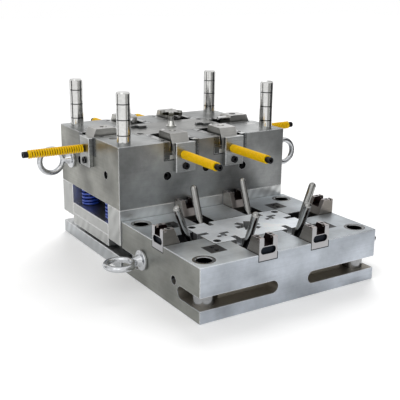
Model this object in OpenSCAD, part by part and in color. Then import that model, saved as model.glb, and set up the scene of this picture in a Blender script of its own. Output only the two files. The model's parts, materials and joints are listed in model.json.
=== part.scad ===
// Two-plate injection mould, opened: the moving half stands upright and the
// fixed half lies in front of it with its parting face up.
// Origin: centre of the moving half's bottom face. +X along the long side,
// -Y towards the fixed half, +Z up. Millimetres.

/* [Plates] */
// Length of every plate, along X
plate_l = 500; // [490:1:540]
// Width of every plate, along Y
plate_w = 360; // [354:1:400]
// Thickness of the moving clamp plate
clamp_h = 35; // [25:1:50]
// Height of the spacer blocks
spacer_h = 120; // [116:1:140]
// Width of one spacer block, along Y
spacer_w = 68; // [58:1:69]
// Thickness of the core plate
core_h = 158; // [146:1:180]
// Thickness of the fixed plate
fixed_h = 128; // [120:1:150]
// Gap between the two halves as they stand
halves_gap = 2; // [1:0.5:30]
// Sideways shift of the fixed half, along X
fixed_shift = 4; // [0:1:20]
// Chamfer on the edges of the plates
plate_chamfer = 1.2; // [0.5:0.1:2.5]

/* [Clamp slots] */
// Height of the clamp slots
slot_h = 30; // [24:1:32]
// Length of the slots in the spacer ends
spacer_slot_l = 70; // [50:1:80]
// Thickness of the lip under the fixed plate's slots
slot_lip = 30; // [24:1:32]
// Length of the fixed plate's slots, from the corner along X
slot_l = 207; // [196:1:215]
// Depth of the fixed plate's long slots
slot_d = 40; // [30:1:44]
// Reach of the corner pockets along X
corner_x = 72; // [66:1:80]
// Reach of the corner pockets along Y
corner_y = 92; // [88:1:94]
// Drilling in the inner wall of the long slots
slot_hole_d = 10; // [6:0.5:14]
// Distance of that drilling from the plate's end, along X
slot_hole_inset = 128; // [110:1:140]
// Height of that drilling above the slot's lip
slot_hole_rise = 22; // [18:0.5:23]
// Depth of that drilling
slot_hole_l = 20; // [10:1:30]

/* [Inserts] */
// Length of the core and cavity inserts
insert_l = 280; // [276:1:288]
// Width of the core and cavity inserts
insert_w = 140; // [136:1:148]
// Thickness of the core insert
core_insert_h = 60; // [50:1:64]
// Thickness of the cavity insert
cavity_insert_h = 50; // [46:1:54]
// Corner radius of the insert pockets
insert_r = 6; // [2:0.5:8]
// Clearance round the inserts, each side
insert_gap = 0.05; // [0.02:0.01:0.2]
// Diameter of the insert screws
insert_screw_d = 12; // [8:1:12]
// Distance of the insert screws from the insert's edges
insert_screw_inset = 15; // [13:0.5:18]

/* [Centre post and product shape] */
// Diameter of the centre post under its cap
post_d = 15; // [12:0.5:18]
// Diameter of the centre post's foot
post_foot_d = 28; // [24:0.5:30]
// Diameter at which the centre post's flare meets its foot
post_flare_d = 22; // [19:0.5:23]
// Height of the centre post's flare
post_flare_h = 13; // [8:0.5:18]
// Height of the centre post with its cap
post_h = 41; // [34:0.5:42]
// Thickness of the star cap
cap_h = 9; // [6:0.5:12]
// Diameter over the arms of the star cap
cap_d = 62; // [50:1:70]
// Width of one arm of the star cap
cap_arm_w = 13; // [10:0.5:16]
// Reach of the star cap's hub past the corners between its arms
cap_bulge = 0.6; // [0.3:0.1:0.9]
// Diameter of the hole in each arm of the star cap
cap_hole_d = 6; // [3:0.5:8]
// Height of the stepped ribs on the core insert
rib_h = 6; // [3:0.5:8]
// Width of the stepped ribs
rib_w = 7; // [5:0.5:8]
// Length of one leg of the stepped ribs
rib_leg = 15; // [12:0.5:17]
// Room left for the moulded wall round the product shape
wall_gap = 2; // [1:0.25:3]
// Width of the groove round the stepped ribs
rib_groove_w = 3; // [1:0.5:4]
// Depth of that groove
rib_groove_h = 3; // [1:0.5:4]
// Distance of the stepped ribs from the centre, along X
rib_x = 88; // [84:1:92]
// Distance of the stepped ribs from the centre, along Y
rib_y = 24; // [20:1:26]

/* [Guide pins and bushes] */
// Diameter of the guide pins
guide_d = 35; // [30:1:38]
// Distance of the guide pins from the plate's ends, along X
guide_inset_x = 34; // [30:1:38]
// Distance of the guide pins from the plate's sides, along Y
guide_inset_y = 38; // [34:1:41]
// Height of the guide pins above the parting face
guide_h = 126; // [100:1:150]
// Pitch of the oil grooves on the guide pins
groove_pitch = 38; // [25:1:45]
// Height of the lowest oil groove above the parting face
groove_start = 20; // [12:1:24]
// Depth of the oil grooves
groove_depth = 1; // [0.4:0.1:1.5]
// Width of the oil grooves
groove_w = 2.4; // [1.5:0.1:4]
// Head diameter of the guide pins
guide_head_d = 41; // [40:1:44]
// Thickness of the guide pins' heads
guide_head_h = 10; // [6:1:14]
// Height of the lead-in cone on the guide pins
guide_lead_h = 3.5; // [2:0.5:6]
// Diameter at the tip of the lead-in cone
guide_tip_d = 29.5; // [24:0.5:30]
// Wall of the guide bushes
bush_wall = 6.5; // [5:0.5:7]
// Running clearance between guide pin and bush, on the radius
guide_clear = 0.03; // [0.01:0.01:0.08]

/* [Sliders] */
// Distance of the front and back sliders from the centre, along X
slider_x = 74; // [70:1:80]
// Width of a slider
slider_w = 50; // [46:1:52]
// Depth of a slider below the parting face
slider_drop = 46; // [43:1:52]
// Height of a slider above the parting face
slider_rise = 17; // [10:1:17]
// Height of a slider's nose above the parting face
slider_nose_h = 12; // [9:0.5:16]
// Length of the slope behind the nose
slider_nose_l = 3.5; // [1:0.5:6]
// Distance of a slider's back from the plate's side
slider_back = 1; // [0.5:0.1:1.4]
// Gap between a slider's nose and the insert when the halves are shut
nose_gap = 0.5; // [0.3:0.1:2]
// Travel of a slider
slider_travel = 38; // [30:1:38]
// Angle of the locking face
heel_angle = 23; // [20:0.5:26]
// Distance of the locking face from the plate's side, at the parting face
heel_u = 7; // [6:0.5:8]
// Reach of the slider's foot flanges
flange_w = 7.7; // [6:0.1:9]
// Height of the slider's foot flanges
flange_h = 10; // [8:0.5:11]
// Width of a gib beside the flange
gib_w = 16; // [14:0.5:17]
// Height of a gib's lip
gib_lip_h = 10; // [8:0.5:12]
// Distance of a gib's screws from its ends
gib_screw_inset = 21; // [14:1:26]
// Running clearance of a slider
slide_clear = 0.3; // [0.2:0.05:0.5]
// Diameter of the side core on each slider's nose
side_core_d = 12; // [8:0.5:12]
// Length of the side core beyond the nose
side_core_l = 25; // [15:1:27]
// Height of the side core above the parting face
side_core_z = 7.5; // [7:0.5:9]

/* [Angle pins and locking blocks] */
// Diameter of the angle pins
angle_pin_d = 18; // [14:0.5:18]
// Lean of the angle pins
angle_pin_lean = 21; // [18:0.5:22]
// Distance of an angle pin from the insert, at the parting face
angle_pin_inset = 32; // [30:0.5:34]
// Reach of the angle pins above the parting face
angle_pin_h = 81; // [70:1:84]
// Depth of an angle pin's seat under the slider pocket
angle_pin_seat = 45; // [30:1:46]
// Clearance of the angle pin in the slider, on the radius
angle_pin_clear = 0.5; // [0.3:0.1:0.8]
// Width of a locking block
lock_w = 49; // [46:0.5:50]
// Height of a locking block above the parting face
lock_h = 37; // [30:1:38]
// Depth of a locking block's seat below the parting face
lock_seat = 15; // [10:1:18]
// Width of the slot that clears the spring
lock_slot_w = 24; // [23:0.5:25]
// Height of that slot's foot above the parting face
lock_slot_z = 19; // [18:0.5:21]
// Depth of the slider pockets in the fixed plate
fixed_pocket_h = 19; // [18.5:0.5:24]
// Screws of the locking blocks
lock_screw_d = 6; // [5:0.5:6]
// Side of the square landing pads, along X
pad_x = 38; // [34:1:40]
// Side of the square landing pads, along Y
pad_y = 40; // [36:1:42]
// Thickness of the landing pads
pad_h = 10; // [8:1:14]
// Distance of the landing pads' centres from the insert's ends, along X
pad_gap_x = 20; // [20:1:24]
// Distance of the landing pads' centres from the insert's sides, along Y
pad_gap_y = 26; // [25:1:28]

/* [Slider springs] */
// Width of a stop plate
stop_w = 56; // [54:1:60]
// Height of a stop plate
stop_h = 76; // [70:1:84]
// Thickness of a stop plate
stop_t = 12; // [10:1:16]
// Sideways offset of a stop plate
stop_offset = 6; // [4:0.5:8]
// Drop of a stop plate's top below the parting face
stop_drop = 3; // [1:0.5:5]
// Diameter of the stop plate's screw
stop_screw_d = 12; // [8:1:12]
// Diameter of the stroke bolt
bolt_d = 10; // [8:0.5:11]
// Drop of the stroke bolt below the parting face
bolt_drop = 34; // [31:0.5:35]
// Length of thread of the stroke bolt in the slider
bolt_thread = 11; // [8:0.5:12]
// Diameter of the stroke bolt's head
bolt_head_d = 16; // [15:0.5:20]
// Length of the stroke bolt's head
bolt_head_l = 12; // [8:1:14]
// Outer diameter of the slider springs
spring_d = 22; // [18:0.5:22]
// Length of the slider springs
spring_l = 150; // [140:1:170]
// Radial width of the slider springs' wire
spring_wire_w = 4.6; // [3:0.2:5]
// Axial height of the slider springs' wire
spring_wire_h = 4.2; // [3:0.1:4.3]
// Turns of the slider springs
spring_turns = 23; // [18:1:23]

/* [Ejector] */
// Width of the gap between each ejector plate and the spacers
ejector_gap = 1; // [0.5:0.25:2]
// Thickness of the ejector base plate
ejector_base_h = 30; // [20:1:32]
// Thickness of the ejector retainer plate
retainer_h = 30; // [20:1:32]
// Stroke of the ejector plates
ejector_stroke = 30; // [20:1:30]
// Height of the rest buttons
button_h = 8; // [4:1:8]
// Diameter of the rest buttons
button_d = 25; // [16:1:30]
// Diameter of the return pins
return_d = 25; // [18:1:26]
// Distance of the return pins from the plate's ends, along X
return_inset = 38; // [36:1:42]
// Gap between the return springs and the spacers
return_wall = 11; // [9:1:12]
// Outer diameter of the return springs
return_spring_d = 50; // [42:1:51]
// Radial width of the return springs' wire
return_wire_w = 10.5; // [7:0.5:11]
// Axial height of the return springs' wire
return_wire_h = 5.2; // [4:0.2:5.4]
// Turns of the return springs
return_turns = 10; // [7:1:10]
// Depth of the return springs' seats in the core plate
return_seat = 40; // [20:1:44]
// Diameter of the ejector pins
ejector_pin_d = 8; // [4:0.5:10]
// Diameter of the ejector pins' heads
ejector_head_d = 14; // [12:0.5:18]
// Diameter of the return pins' heads
return_head_d = 31; // [28:0.5:34]
// Thickness of both pins' heads
pin_head_h = 6; // [4:0.5:10]
// Running clearance of the ejector and return pins, on the radius
pin_clear = 0.05; // [0.02:0.01:0.1]
// Diameter of the support pillars
pillar_d = 36; // [24:1:40]
// Diameter of the hole for the press's ejector rod
rod_hole_d = 40; // [30:1:60]
// Diameter of the rod's thread in the ejector base plate
rod_thread_d = 20; // [12:1:24]
// Depth of the rod's thread
rod_thread_l = 15; // [10:1:19]
// Distance of the outer support pillars from the centre, along X
pillar_x = 160; // [150:1:166]
// Distance of the middle support pillars from the centre, along Y
pillar_y = 70; // [64:1:76]

/* [Lifting and water] */
// Core diameter of the threaded lifting holes
lift_hole_d = 21; // [16:0.5:22]
// Depth of the lifting holes
lift_hole_l = 36; // [32:1:40]
// Outer diameter of an eyebolt's ring
ring_d = 80; // [70:1:90]
// Thickness of an eyebolt's ring
ring_t = 15; // [12:0.5:17]
// Distance of an eyebolt's ring from the plate
ring_reach = 60; // [56:1:70]
// Diameter of an eyebolt's collar
collar_d = 50; // [40:1:52]
// Thickness of an eyebolt's collar
collar_h = 8; // [5:0.5:12]
// Diameter of an eyebolt's neck at its collar
neck_d = 36; // [30:1:39]
// Diameter of an eyebolt's neck at its ring
neck_top_d = 16.5; // [14:0.5:20]
// Distance of the moving half's lifting holes from the plate's sides, along Y
lift_inset = 74; // [72:1:76]
// Distance of the fixed half's lifting holes from the plate's sides, along Y
fixed_lift_inset = 108; // [107:1:114]
// Drop of the moving half's lifting holes below the parting face
lift_drop = 84; // [80:1:90]
// Diameter of the water ports
port_d = 22; // [16:0.5:24]
// Diameter of the water drillings
water_d = 10; // [6:0.5:11]
// Length of the water drillings
water_l = 90; // [60:1:100]

/* [Feed] */
// Diameter of the locating ring
register_d = 100; // [80:1:120]
// Thickness of the locating ring
register_h = 10; // [8:1:14]
// Bore of the locating ring
register_bore_d = 36; // [30:1:40]
// Diameter of the sprue bush
sprue_d = 25; // [20:1:32]
// Head diameter of the sprue bush
sprue_head_d = 50; // [44:1:60]
// Head thickness of the sprue bush
sprue_head_h = 15; // [10:1:18]
// Diameter of the machine nozzle's seat in the sprue bush
nozzle_d = 20; // [14:1:24]
// Bore of the sprue at the nozzle
sprue_in_d = 4; // [3:0.25:5]
// Bore of the sprue at the product shape
sprue_out_d = 8; // [6:0.25:10]

/* [Hidden] */
STATION_NAMES = ["front_left", "front_right", "back_left", "back_right", "left", "right"];
$fn = 64;
// Small overlap that makes a cut break cleanly through a face
eps = 0.5;
// Clearance of a piece seated for good in its bore or pocket
seat = 0.02;
steel = "silver";
dark = "dimgray";
alloy = "gainsboro";

spacer_z = clamp_h;
core_z = clamp_h + spacer_h;
part_z = core_z + core_h;
spacer_y = (plate_w - spacer_w) / 2;
box_w = plate_w - 2 * spacer_w;
fixed_at = [fixed_shift, -plate_w - halves_gap, 0];

// Each slider station: place on the plate, and the turn that points local +Y inwards
STATIONS = [
    [[-slider_x, -plate_w / 2], 0], [[slider_x, -plate_w / 2], 0],
    [[-slider_x, plate_w / 2], 180], [[slider_x, plate_w / 2], 180],
    [[-plate_l / 2, 0], -90], [[plate_l / 2, 0], 90]];
STATION_COUNT = len(STATIONS);

// Length of the way from the plate's side to the insert, at a station
function station_reach(i) = i < 4 ? (plate_w - insert_w) / 2 : (plate_l - insert_l) / 2;
// Distance of an angle pin from the plate's side, at the parting face
function angle_pin_u(i) = station_reach(i) - angle_pin_inset;
// Length of a slider, back to nose
function slider_l(i) = station_reach(i) - slider_back - slider_travel - nose_gap;

// Thickness and depth of the centre post's foot
post_foot_h = 2;
post_root = 14;
cap_hub_d = 2 * (cap_arm_w + cap_bulge);
// Play round the ejector pins behind the insert
ejector_hole_play = 0.5;
// Room for the angle pin's tip in the slider pocket's floor
pin_tip_room = 6;
pin_side_room = 2;
gib_end_gap = 2;
side_core_chamfer = 1;
// Room round a side core, and round a slider's head, when the halves are shut
shut_room = 1;
pocket_w = slider_w + 2 * (slide_clear + flange_w + slide_clear + gib_w);
gib_x = slider_w / 2 + slide_clear;
lip_z = -slider_drop + slide_clear + flange_h + slide_clear;
heel_tan = tan(heel_angle);
lock_depth = heel_u + slider_travel;
angle_hole_r = angle_pin_d / 2 + angle_pin_clear;
bolt_tail = stop_t + spring_l;
// Head diameter of a cap screw in shank diameters, and of its socket in head diameters
screw_head = 1.5;
socket_share = 0.55;
// Depth of a screw's head below the face, and the room left beyond its tip
head_sink = 1;
tip_gap = 1;
// Play round a screw's head
head_play = 1;
// Length of a screw whose head sinks into "through" and whose tip bites beyond it
function screw_l(through, d, bite) = through - d - head_sink + bite - tip_gap;

ejector_z = clamp_h + button_h;
retainer_z = ejector_z + ejector_base_h;
retainer_top = retainer_z + retainer_h;
ejector_w = box_w - 2 * ejector_gap;
return_spring_top = core_z + return_seat;
return_hole_play = 1;
return_hole_d = return_spring_d + 2 * return_hole_play;
// Places of the ejector pins in one quarter of the insert
ejector_in_x = 45;
ejector_in_y = 50;
ejector_out_x = 115;
ejector_out_y = 30;
EJECTOR_QUARTER = [[ejector_in_x, ejector_in_y], [ejector_out_x, ejector_out_y]];
EJECTOR_AT = [for (sx = [-1, 1], sy = [-1, 1], at = EJECTOR_QUARTER) [sx * at[0], sy * at[1]]];
return_x = plate_l / 2 - return_inset;
return_y = (box_w - return_spring_d) / 2 - return_wall;
RETURN_AT = [for (sx = [-1, 1], sy = [-1, 1]) [sx * return_x, sy * return_y]];
guide_x = plate_l / 2 - guide_inset_x;
guide_y = plate_w / 2 - guide_inset_y;
GUIDE_AT = [for (sx = [-1, 1], sy = [-1, 1]) [sx * guide_x, sy * guide_y]];
PILLAR_AT = [[-pillar_x, 0], [pillar_x, 0], [0, -pillar_y], [0, pillar_y]];
pillar_clear = 1;
button_out_x = plate_l / 2 - 2 * button_d;
button_in_x = 2 * button_d;
BUTTON_X = [-button_out_x, -button_in_x, button_in_x, button_out_x];
button_inset = 4;
BUTTON_AT = [for (x = BUTTON_X, sy = [-1, 1]) [x, sy * (ejector_w / 2 - button_d / 2 - button_inset)]];
ejector_screw_x = 95;
ejector_screw_inset = 19;
ejector_screw_y = ejector_w / 2 - ejector_screw_inset;
EJECTOR_SCREW_AT = [for (sx = [-1, 1], sy = [-1, 1]) [sx * ejector_screw_x, sy * ejector_screw_y]];
ejector_screw_d = 10;
ejector_screw_bite = 23;
base_screw_x = 120;
BASE_SCREW_X = [-base_screw_x, 0, base_screw_x];
BASE_SCREW_AT = [for (x = BASE_SCREW_X, sy = [-1, 1]) [x, sy * spacer_y]];
base_screw_d = 14;
base_screw_play = 1;
base_screw_bite = 28;
INSERT_SCREW_AT = [for (sx = [-1, 1], sy = [-1, 1])
    [sx * (insert_l / 2 - insert_screw_inset), sy * (insert_w / 2 - insert_screw_inset)]];
insert_screw_bite = 20;
pad_at_x = insert_l / 2 + pad_gap_x;
pad_at_y = insert_w / 2 + pad_gap_y;
PAD_AT = [for (sx = [-1, 1], sy = [-1, 1]) [sx * pad_at_x, sy * pad_at_y]];
pad_screw_d = 8;
pad_screw_pitch = 20;
pad_screw_bite = 18;
stop_screw_inset = 15;
stop_screw_z = -stop_drop - stop_h + stop_screw_inset;
stop_screw_bite = 20;
lift_z = part_z - lift_drop;
lift_y = plate_w / 2 - lift_inset;
fixed_lift_y = plate_w / 2 - fixed_lift_inset;
fixed_lift_z = fixed_h / 2;
// Room left beyond an eyebolt's shank
shank_gap = 3;
// Water ports: place along the side, and height above the core plate's bottom
port_x = 115;
port_low_z = 71;
port_z = 80;
FRONT_PORTS = [[-port_x, port_low_z], [0, port_z], [port_x, port_low_z]];
side_port_y = 54;
port_depth = 8;
sprue_top = fixed_h - post_h - wall_gap;
sprue_z = register_h;
bush_top_h = 6;
// Play round the guide pin below its bush
guide_exit_play = 1;
bush_head_wall = 2;
// Chamfer at the mouth of a guide bush
bush_mouth = 2;
bush_z = slot_lip / 3;
lock_screw_x = (lock_w + lock_slot_w) / 4;
lock_screw_bite = 12;
lock_screw_u = lock_depth * 0.4;
lock_groove_w = 5;
lock_chamfer = 1.5;
lock_head_play = 0.5;
lock_relief_w = 41;
lock_relief_h = 17;
lock_relief_d = 5;
lock_relief_z = 7.6;
gib_screw_d = 8;
gib_screw_bite = 16;
register_screw_d = 6;
register_screw_bite = 12;
REGISTER_SCREW_AT = [for (a = [90, 210, 330])
    (register_d + sprue_head_d) / 4 * [cos(a), sin(a)]];

// A block with every edge chamfered, centred on X and Y, standing on z = 0
module chamfered_block(l, w, h, c) {
    intersection() {
        linear_extrude(h) chamfered_rect(l, w, c);
        translate([0, w / 2, h / 2]) rotate([90, 0, 0]) linear_extrude(w) chamfered_rect(l, h, c);
        translate([-l / 2, 0, h / 2]) rotate([90, 0, 90]) linear_extrude(l) chamfered_rect(w, h, c);
    }
}

module chamfered_rect(a, b, c) {
    x = a / 2;
    y = b / 2;
    polygon([[-x + c, -y], [x - c, -y], [x, -y + c], [x, y - c],
             [x - c, y], [-x + c, y], [-x, y - c], [-x, -y + c]]);
}

module rounded_block(l, w, h, r) {
    for (x = [-1, 1], y = [-1, 1])
        translate([x * (l / 2 - r), y * (w / 2 - r), 0]) cylinder(h = h, r = r);
    translate([-l / 2 + r, -w / 2, 0]) cube([l - 2 * r, w, h]);
    translate([-l / 2, -w / 2 + r, 0]) cube([l, w - 2 * r, h]);
}

// Puts its children at a slider station, at height z
module at_station(i, z) {
    translate([STATIONS[i][0][0], STATIONS[i][0][1], z]) rotate([0, 0, STATIONS[i][1]]) children();
}

module at_points(points, z) {
    for (p = points) translate([p[0], p[1], z]) children();
}

// A profile drawn in the station's Y and Z, as thick as w across it
module across(w) {
    translate([-w / 2, 0, 0]) rotate([90, 0, 90]) linear_extrude(w) children();
}

// Cap screw standing on its tip: shank of diameter d and length l, head on top
module cap_screw(d, l) {
    difference() {
        union() {
            cylinder(h = l, d = d);
            translate([0, 0, l]) cylinder(h = d, d = d * screw_head);
        }
        translate([0, 0, l + d / 2]) cylinder(h = d, d = d * screw_head * socket_share, $fn = 6);
    }
}

// Room for that screw, open above for a height of "above"
module cap_screw_room(d, l, above) {
    translate([0, 0, -seat]) cylinder(h = l + 2 * seat, d = d + 2 * seat);
    translate([0, 0, l]) cylinder(h = above, d = d * screw_head + head_play);
}

// One ring of the coil's section, at turn t
function coil_z(t, turns, l, wire_h) =
    let (closed = wire_h + 0.15, pitch = (l - wire_h - 2 * closed) / (turns - 2))
    wire_h / 2 + min(t, 1) * closed + min(max(t - 1, 0), turns - 2) * pitch
        + max(t - turns + 1, 0) * closed;

// Compression spring standing on z = 0, wound from flattened wire
module coil_spring(d, l, wire_w, wire_h, turns, steps) {
    rings = turns * steps;
    ro = d / 2;
    ri = ro - wire_w;
    points = [for (k = [0:rings]) let (a = 360 * k / steps, z = coil_z(k / steps, turns, l, wire_h))
        each [[ri * cos(a), ri * sin(a), z - wire_h / 2], [ro * cos(a), ro * sin(a), z - wire_h / 2],
              [ro * cos(a), ro * sin(a), z + wire_h / 2], [ri * cos(a), ri * sin(a), z + wire_h / 2]]];
    sides = [for (k = [0:rings - 1], j = [0:3]) let (n = (j + 1) % 4)
        each [[4 * k + j, 4 * k + 4 + n, 4 * k + n], [4 * k + j, 4 * k + 4 + j, 4 * k + 4 + n]]];
    last = 4 * rings;
    polyhedron(points, concat(sides, [[0, 1, 2, 3], [last + 3, last + 2, last + 1, last]]));
}

module star(d, hub_d, arm_w, h) {
    linear_extrude(h) {
        circle(d = hub_d);
        for (a = [0:60:120]) rotate(a) square([d, arm_w], center = true);
    }
}

module stepped_rib(w, leg, h) {
    linear_extrude(h) {
        translate([-leg - w / 2, leg / 2 - w / 2]) square([leg + w, w]);
        translate([-w / 2, -leg / 2 - w / 2]) square([w, leg + w]);
        translate([-w / 2, -leg / 2 - w / 2]) square([leg + w, w]);
    }
}

// Moving half

module clamp_plate() {
    color(alloy) difference() {
        chamfered_block(plate_l, plate_w, clamp_h, plate_chamfer);
        translate([0, 0, -eps]) cylinder(h = clamp_h + 2 * eps, d = rod_hole_d);
        at_points(BASE_SCREW_AT, -eps) {
            cylinder(h = clamp_h + 2 * eps, d = base_screw_d + 2 * seat);
            cylinder(h = base_screw_d + head_sink + eps, d = base_screw_d * screw_head + head_play);
        }
    }
}

module spacer(side) {
    color(alloy) translate([0, side * spacer_y, spacer_z]) difference() {
        chamfered_block(plate_l, spacer_w, spacer_h, plate_chamfer);
        for (s = [-1, 1]) translate([s * (plate_l - spacer_slot_l) / 2, 0, slot_h / 2 - eps / 2])
            cube([spacer_slot_l + eps, spacer_w + 2 * eps, slot_h + eps], center = true);
        for (x = BASE_SCREW_X) translate([x, 0, -eps])
            cylinder(h = spacer_h + 2 * eps, d = base_screw_d + base_screw_play);
    }
}

module spacer_front() { spacer(-1); }

module spacer_back() { spacer(1); }

module base_screws() {
    l = base_screw_bite + spacer_h + clamp_h - base_screw_d - head_sink;
    color(dark) at_points(BASE_SCREW_AT, core_z + base_screw_bite) mirror([0, 0, 1])
        cap_screw(base_screw_d, l);
}

module slider_pocket(i) {
    reach = station_reach(i);
    translate([-pocket_w / 2, -eps, -slider_drop]) cube([pocket_w, reach + 2 * eps, slider_drop + eps]);
    // room in the pocket's floor for the tip of the angle pin
    translate([0, angle_pin_u(i), 0]) rotate([-angle_pin_lean, 0, 0])
        translate([0, 0, -(angle_pin_h + pin_tip_room) / cos(angle_pin_lean)])
            cylinder(h = angle_pin_h, r = angle_hole_r + pin_side_room);
    translate([stop_offset, -eps, stop_screw_z]) rotate([-90, 0, 0])
        cylinder(h = stop_screw_bite + eps, d = stop_screw_d + 2 * seat);
}

module core_plate() {
    color(alloy) difference() {
        translate([0, 0, core_z]) core_plate_bored();
        at_gibs() at_gib_screws() translate([0, 0, -gib_screw_bite])
            cylinder(h = gib_screw_bite + eps, d = gib_screw_d + 2 * seat);
    }
}

module core_plate_bored() {
    difference() {
        chamfered_block(plate_l, plate_w, core_h, plate_chamfer);
        translate([0, 0, core_h - core_insert_h])
            rounded_block(insert_l, insert_w, core_insert_h + eps, insert_r);
        for (i = [0:STATION_COUNT - 1]) at_station(i, core_h) slider_pocket(i);
        at_points(GUIDE_AT, -eps) {
            cylinder(h = core_h + 2 * eps, d = guide_d + 2 * seat);
            cylinder(h = guide_head_h + eps + seat, d = guide_head_d + 2 * seat);
        }
        at_points(RETURN_AT, -eps) {
            cylinder(h = core_h + 2 * eps, d = return_d + 2 * pin_clear);
            cylinder(h = return_seat + eps, d = return_hole_d);
        }
        at_points(EJECTOR_AT, -eps) cylinder(h = core_h, d = ejector_pin_d + 2 * ejector_hole_play);
        at_points(BASE_SCREW_AT, -eps) cylinder(h = base_screw_bite + eps, d = base_screw_d + 2 * seat);
        at_points(INSERT_SCREW_AT, core_h - core_insert_h - insert_screw_bite)
            cylinder(h = insert_screw_bite + eps, d = insert_screw_d + 2 * seat);
        for (sx = [-1, 1], sy = [-1, 1])
            translate([sx * plate_l / 2, sy * lift_y, lift_z - core_z]) rotate([0, -sx * 90, 0])
                translate([0, 0, -eps]) cylinder(h = lift_hole_l + eps, d = lift_hole_d);
        for (p = FRONT_PORTS, side = [-1, 1]) translate([p[0], side * plate_w / 2, p[1]])
            rotate([side * 90, 0, 0]) water_port();
        for (side = [-1, 1]) translate([side * plate_l / 2, -side * side_port_y, port_z])
            rotate([0, -side * 90, 0]) water_port();
    }
}

// A water port and its drilling, going in along +Z
module water_port() {
    translate([0, 0, -eps]) {
        cylinder(h = port_depth + eps, d = port_d);
        cylinder(h = water_l + eps, d = water_d);
    }
}

module core_insert() {
    color(alloy) translate([0, 0, part_z - core_insert_h]) difference() {
        union() {
            difference() {
                rounded_block(insert_l - 2 * insert_gap, insert_w - 2 * insert_gap, core_insert_h, insert_r);
                for (s = [-1, 1]) translate([s * rib_x, -s * rib_y, core_insert_h - rib_groove_h])
                    stepped_rib(rib_w + 2 * rib_groove_w, rib_leg, rib_groove_h + eps);
            }
            for (s = [-1, 1]) translate([s * rib_x, -s * rib_y, core_insert_h - rib_groove_h - eps])
                stepped_rib(rib_w, rib_leg, rib_h + rib_groove_h + eps);
        }
        at_points(EJECTOR_AT, -eps) cylinder(h = core_insert_h + 2 * eps, d = ejector_pin_d + 2 * pin_clear);
        at_points(INSERT_SCREW_AT, 0)
            cap_screw_room(insert_screw_d, core_insert_h - insert_screw_d - head_sink, 2 * insert_screw_d);
        translate([0, 0, core_insert_h - post_root]) cylinder(h = post_root + eps, d = post_d + 2 * seat);
    }
}

module core_insert_screws() {
    color(dark) at_points(INSERT_SCREW_AT, part_z - core_insert_h - insert_screw_bite + tip_gap)
        cap_screw(insert_screw_d, screw_l(core_insert_h, insert_screw_d, insert_screw_bite));
}

module centre_post() {
    neck = post_h - cap_h;
    color(steel) translate([0, 0, part_z]) {
        translate([0, 0, -post_root]) cylinder(h = post_root + neck + eps, d = post_d);
        cylinder(h = post_foot_h, d = post_foot_d);
        translate([0, 0, post_foot_h]) cylinder(h = post_flare_h, d1 = post_flare_d, d2 = post_d);
        translate([0, 0, neck]) difference() {
            star(cap_d, cap_hub_d, cap_arm_w, cap_h);
            for (a = [0:60:300]) rotate([0, 0, a]) translate([cap_d / 2 - 1.5 * cap_hole_d, 0, cap_h / 2])
                cylinder(h = cap_h, d = cap_hole_d);
        }
    }
}

module guide_pins() {
    color(steel) at_points(GUIDE_AT, core_z) difference() {
        union() {
            cylinder(h = core_h + guide_h - guide_lead_h, d = guide_d);
            cylinder(h = guide_head_h, d = guide_head_d);
            translate([0, 0, core_h + guide_h - guide_lead_h])
                cylinder(h = guide_lead_h, d1 = guide_d - 1, d2 = guide_tip_d);
        }
        for (k = [0:2]) translate([0, 0, core_h + groove_start + k * groove_pitch]) difference() {
            cylinder(h = groove_w, d = guide_d + 2);
            translate([0, 0, -eps]) cylinder(h = groove_w + 2 * eps, d = guide_d - 2 * groove_depth);
        }
    }
}

// Puts its children at both gibs of every station, mirrored to the right-hand one
module at_gibs() {
    for (i = [0:STATION_COUNT - 1]) at_station(i, part_z) for (side = [0, 1])
        mirror([side, 0, 0]) translate([gib_x, 0, -slider_drop]) {
            $gib_l = station_reach(i) - gib_end_gap;
            children();
        }
}

module at_gib_screws() {
    for (u = [gib_screw_inset, $gib_l - gib_screw_inset])
        translate([flange_w + slide_clear + gib_w / 2, u, 0]) children();
}

module gib_rails() {
    color(steel) at_gibs() difference() {
        union() {
            translate([flange_w + slide_clear, 0, 0]) cube([gib_w - seat, $gib_l, slider_drop]);
            translate([0, 0, lip_z + slider_drop]) cube([flange_w + slide_clear + eps, $gib_l, gib_lip_h]);
        }
        at_gib_screws() cap_screw_room(gib_screw_d, slider_drop - gib_screw_d - head_sink, 2 * gib_screw_d);
    }
}

module gib_screws() {
    l = screw_l(slider_drop, gib_screw_d, gib_screw_bite);
    color(dark) at_gibs() at_gib_screws() translate([0, 0, -gib_screw_bite + tip_gap])
        cap_screw(gib_screw_d, l);
}

module stop_plates() {
    color(steel) for (i = [0:STATION_COUNT - 1]) at_station(i, part_z) difference() {
        translate([stop_offset, -stop_t / 2, -stop_drop - stop_h])
            chamfered_block(stop_w, stop_t, stop_h, plate_chamfer);
        translate([0, eps, -bolt_drop]) rotate([90, 0, 0])
            cylinder(h = stop_t + 2 * eps, d = bolt_d + 2 * slide_clear);
        translate([stop_offset, eps, stop_screw_z]) rotate([90, 0, 0])
            cylinder(h = stop_t + 2 * eps, d = stop_screw_d + 2 * seat);
        translate([stop_offset, -stop_t / 3, stop_screw_z]) rotate([90, 0, 0])
            cylinder(h = stop_t, d = stop_screw_d * screw_head + head_play);
    }
}

module stop_plate_screws() {
    color(dark) for (i = [0:STATION_COUNT - 1]) at_station(i, part_z)
        translate([stop_offset, stop_screw_bite - tip_gap, stop_screw_z]) rotate([90, 0, 0])
            cap_screw(stop_screw_d, stop_screw_bite - tip_gap + stop_t / 3);
}

module support_pillars() {
    color(steel) at_points(PILLAR_AT, spacer_z) cylinder(h = spacer_h, d = pillar_d);
}

module rest_buttons() {
    color(steel) at_points(BUTTON_AT, clamp_h) cylinder(h = button_h, d = button_d);
}

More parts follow.
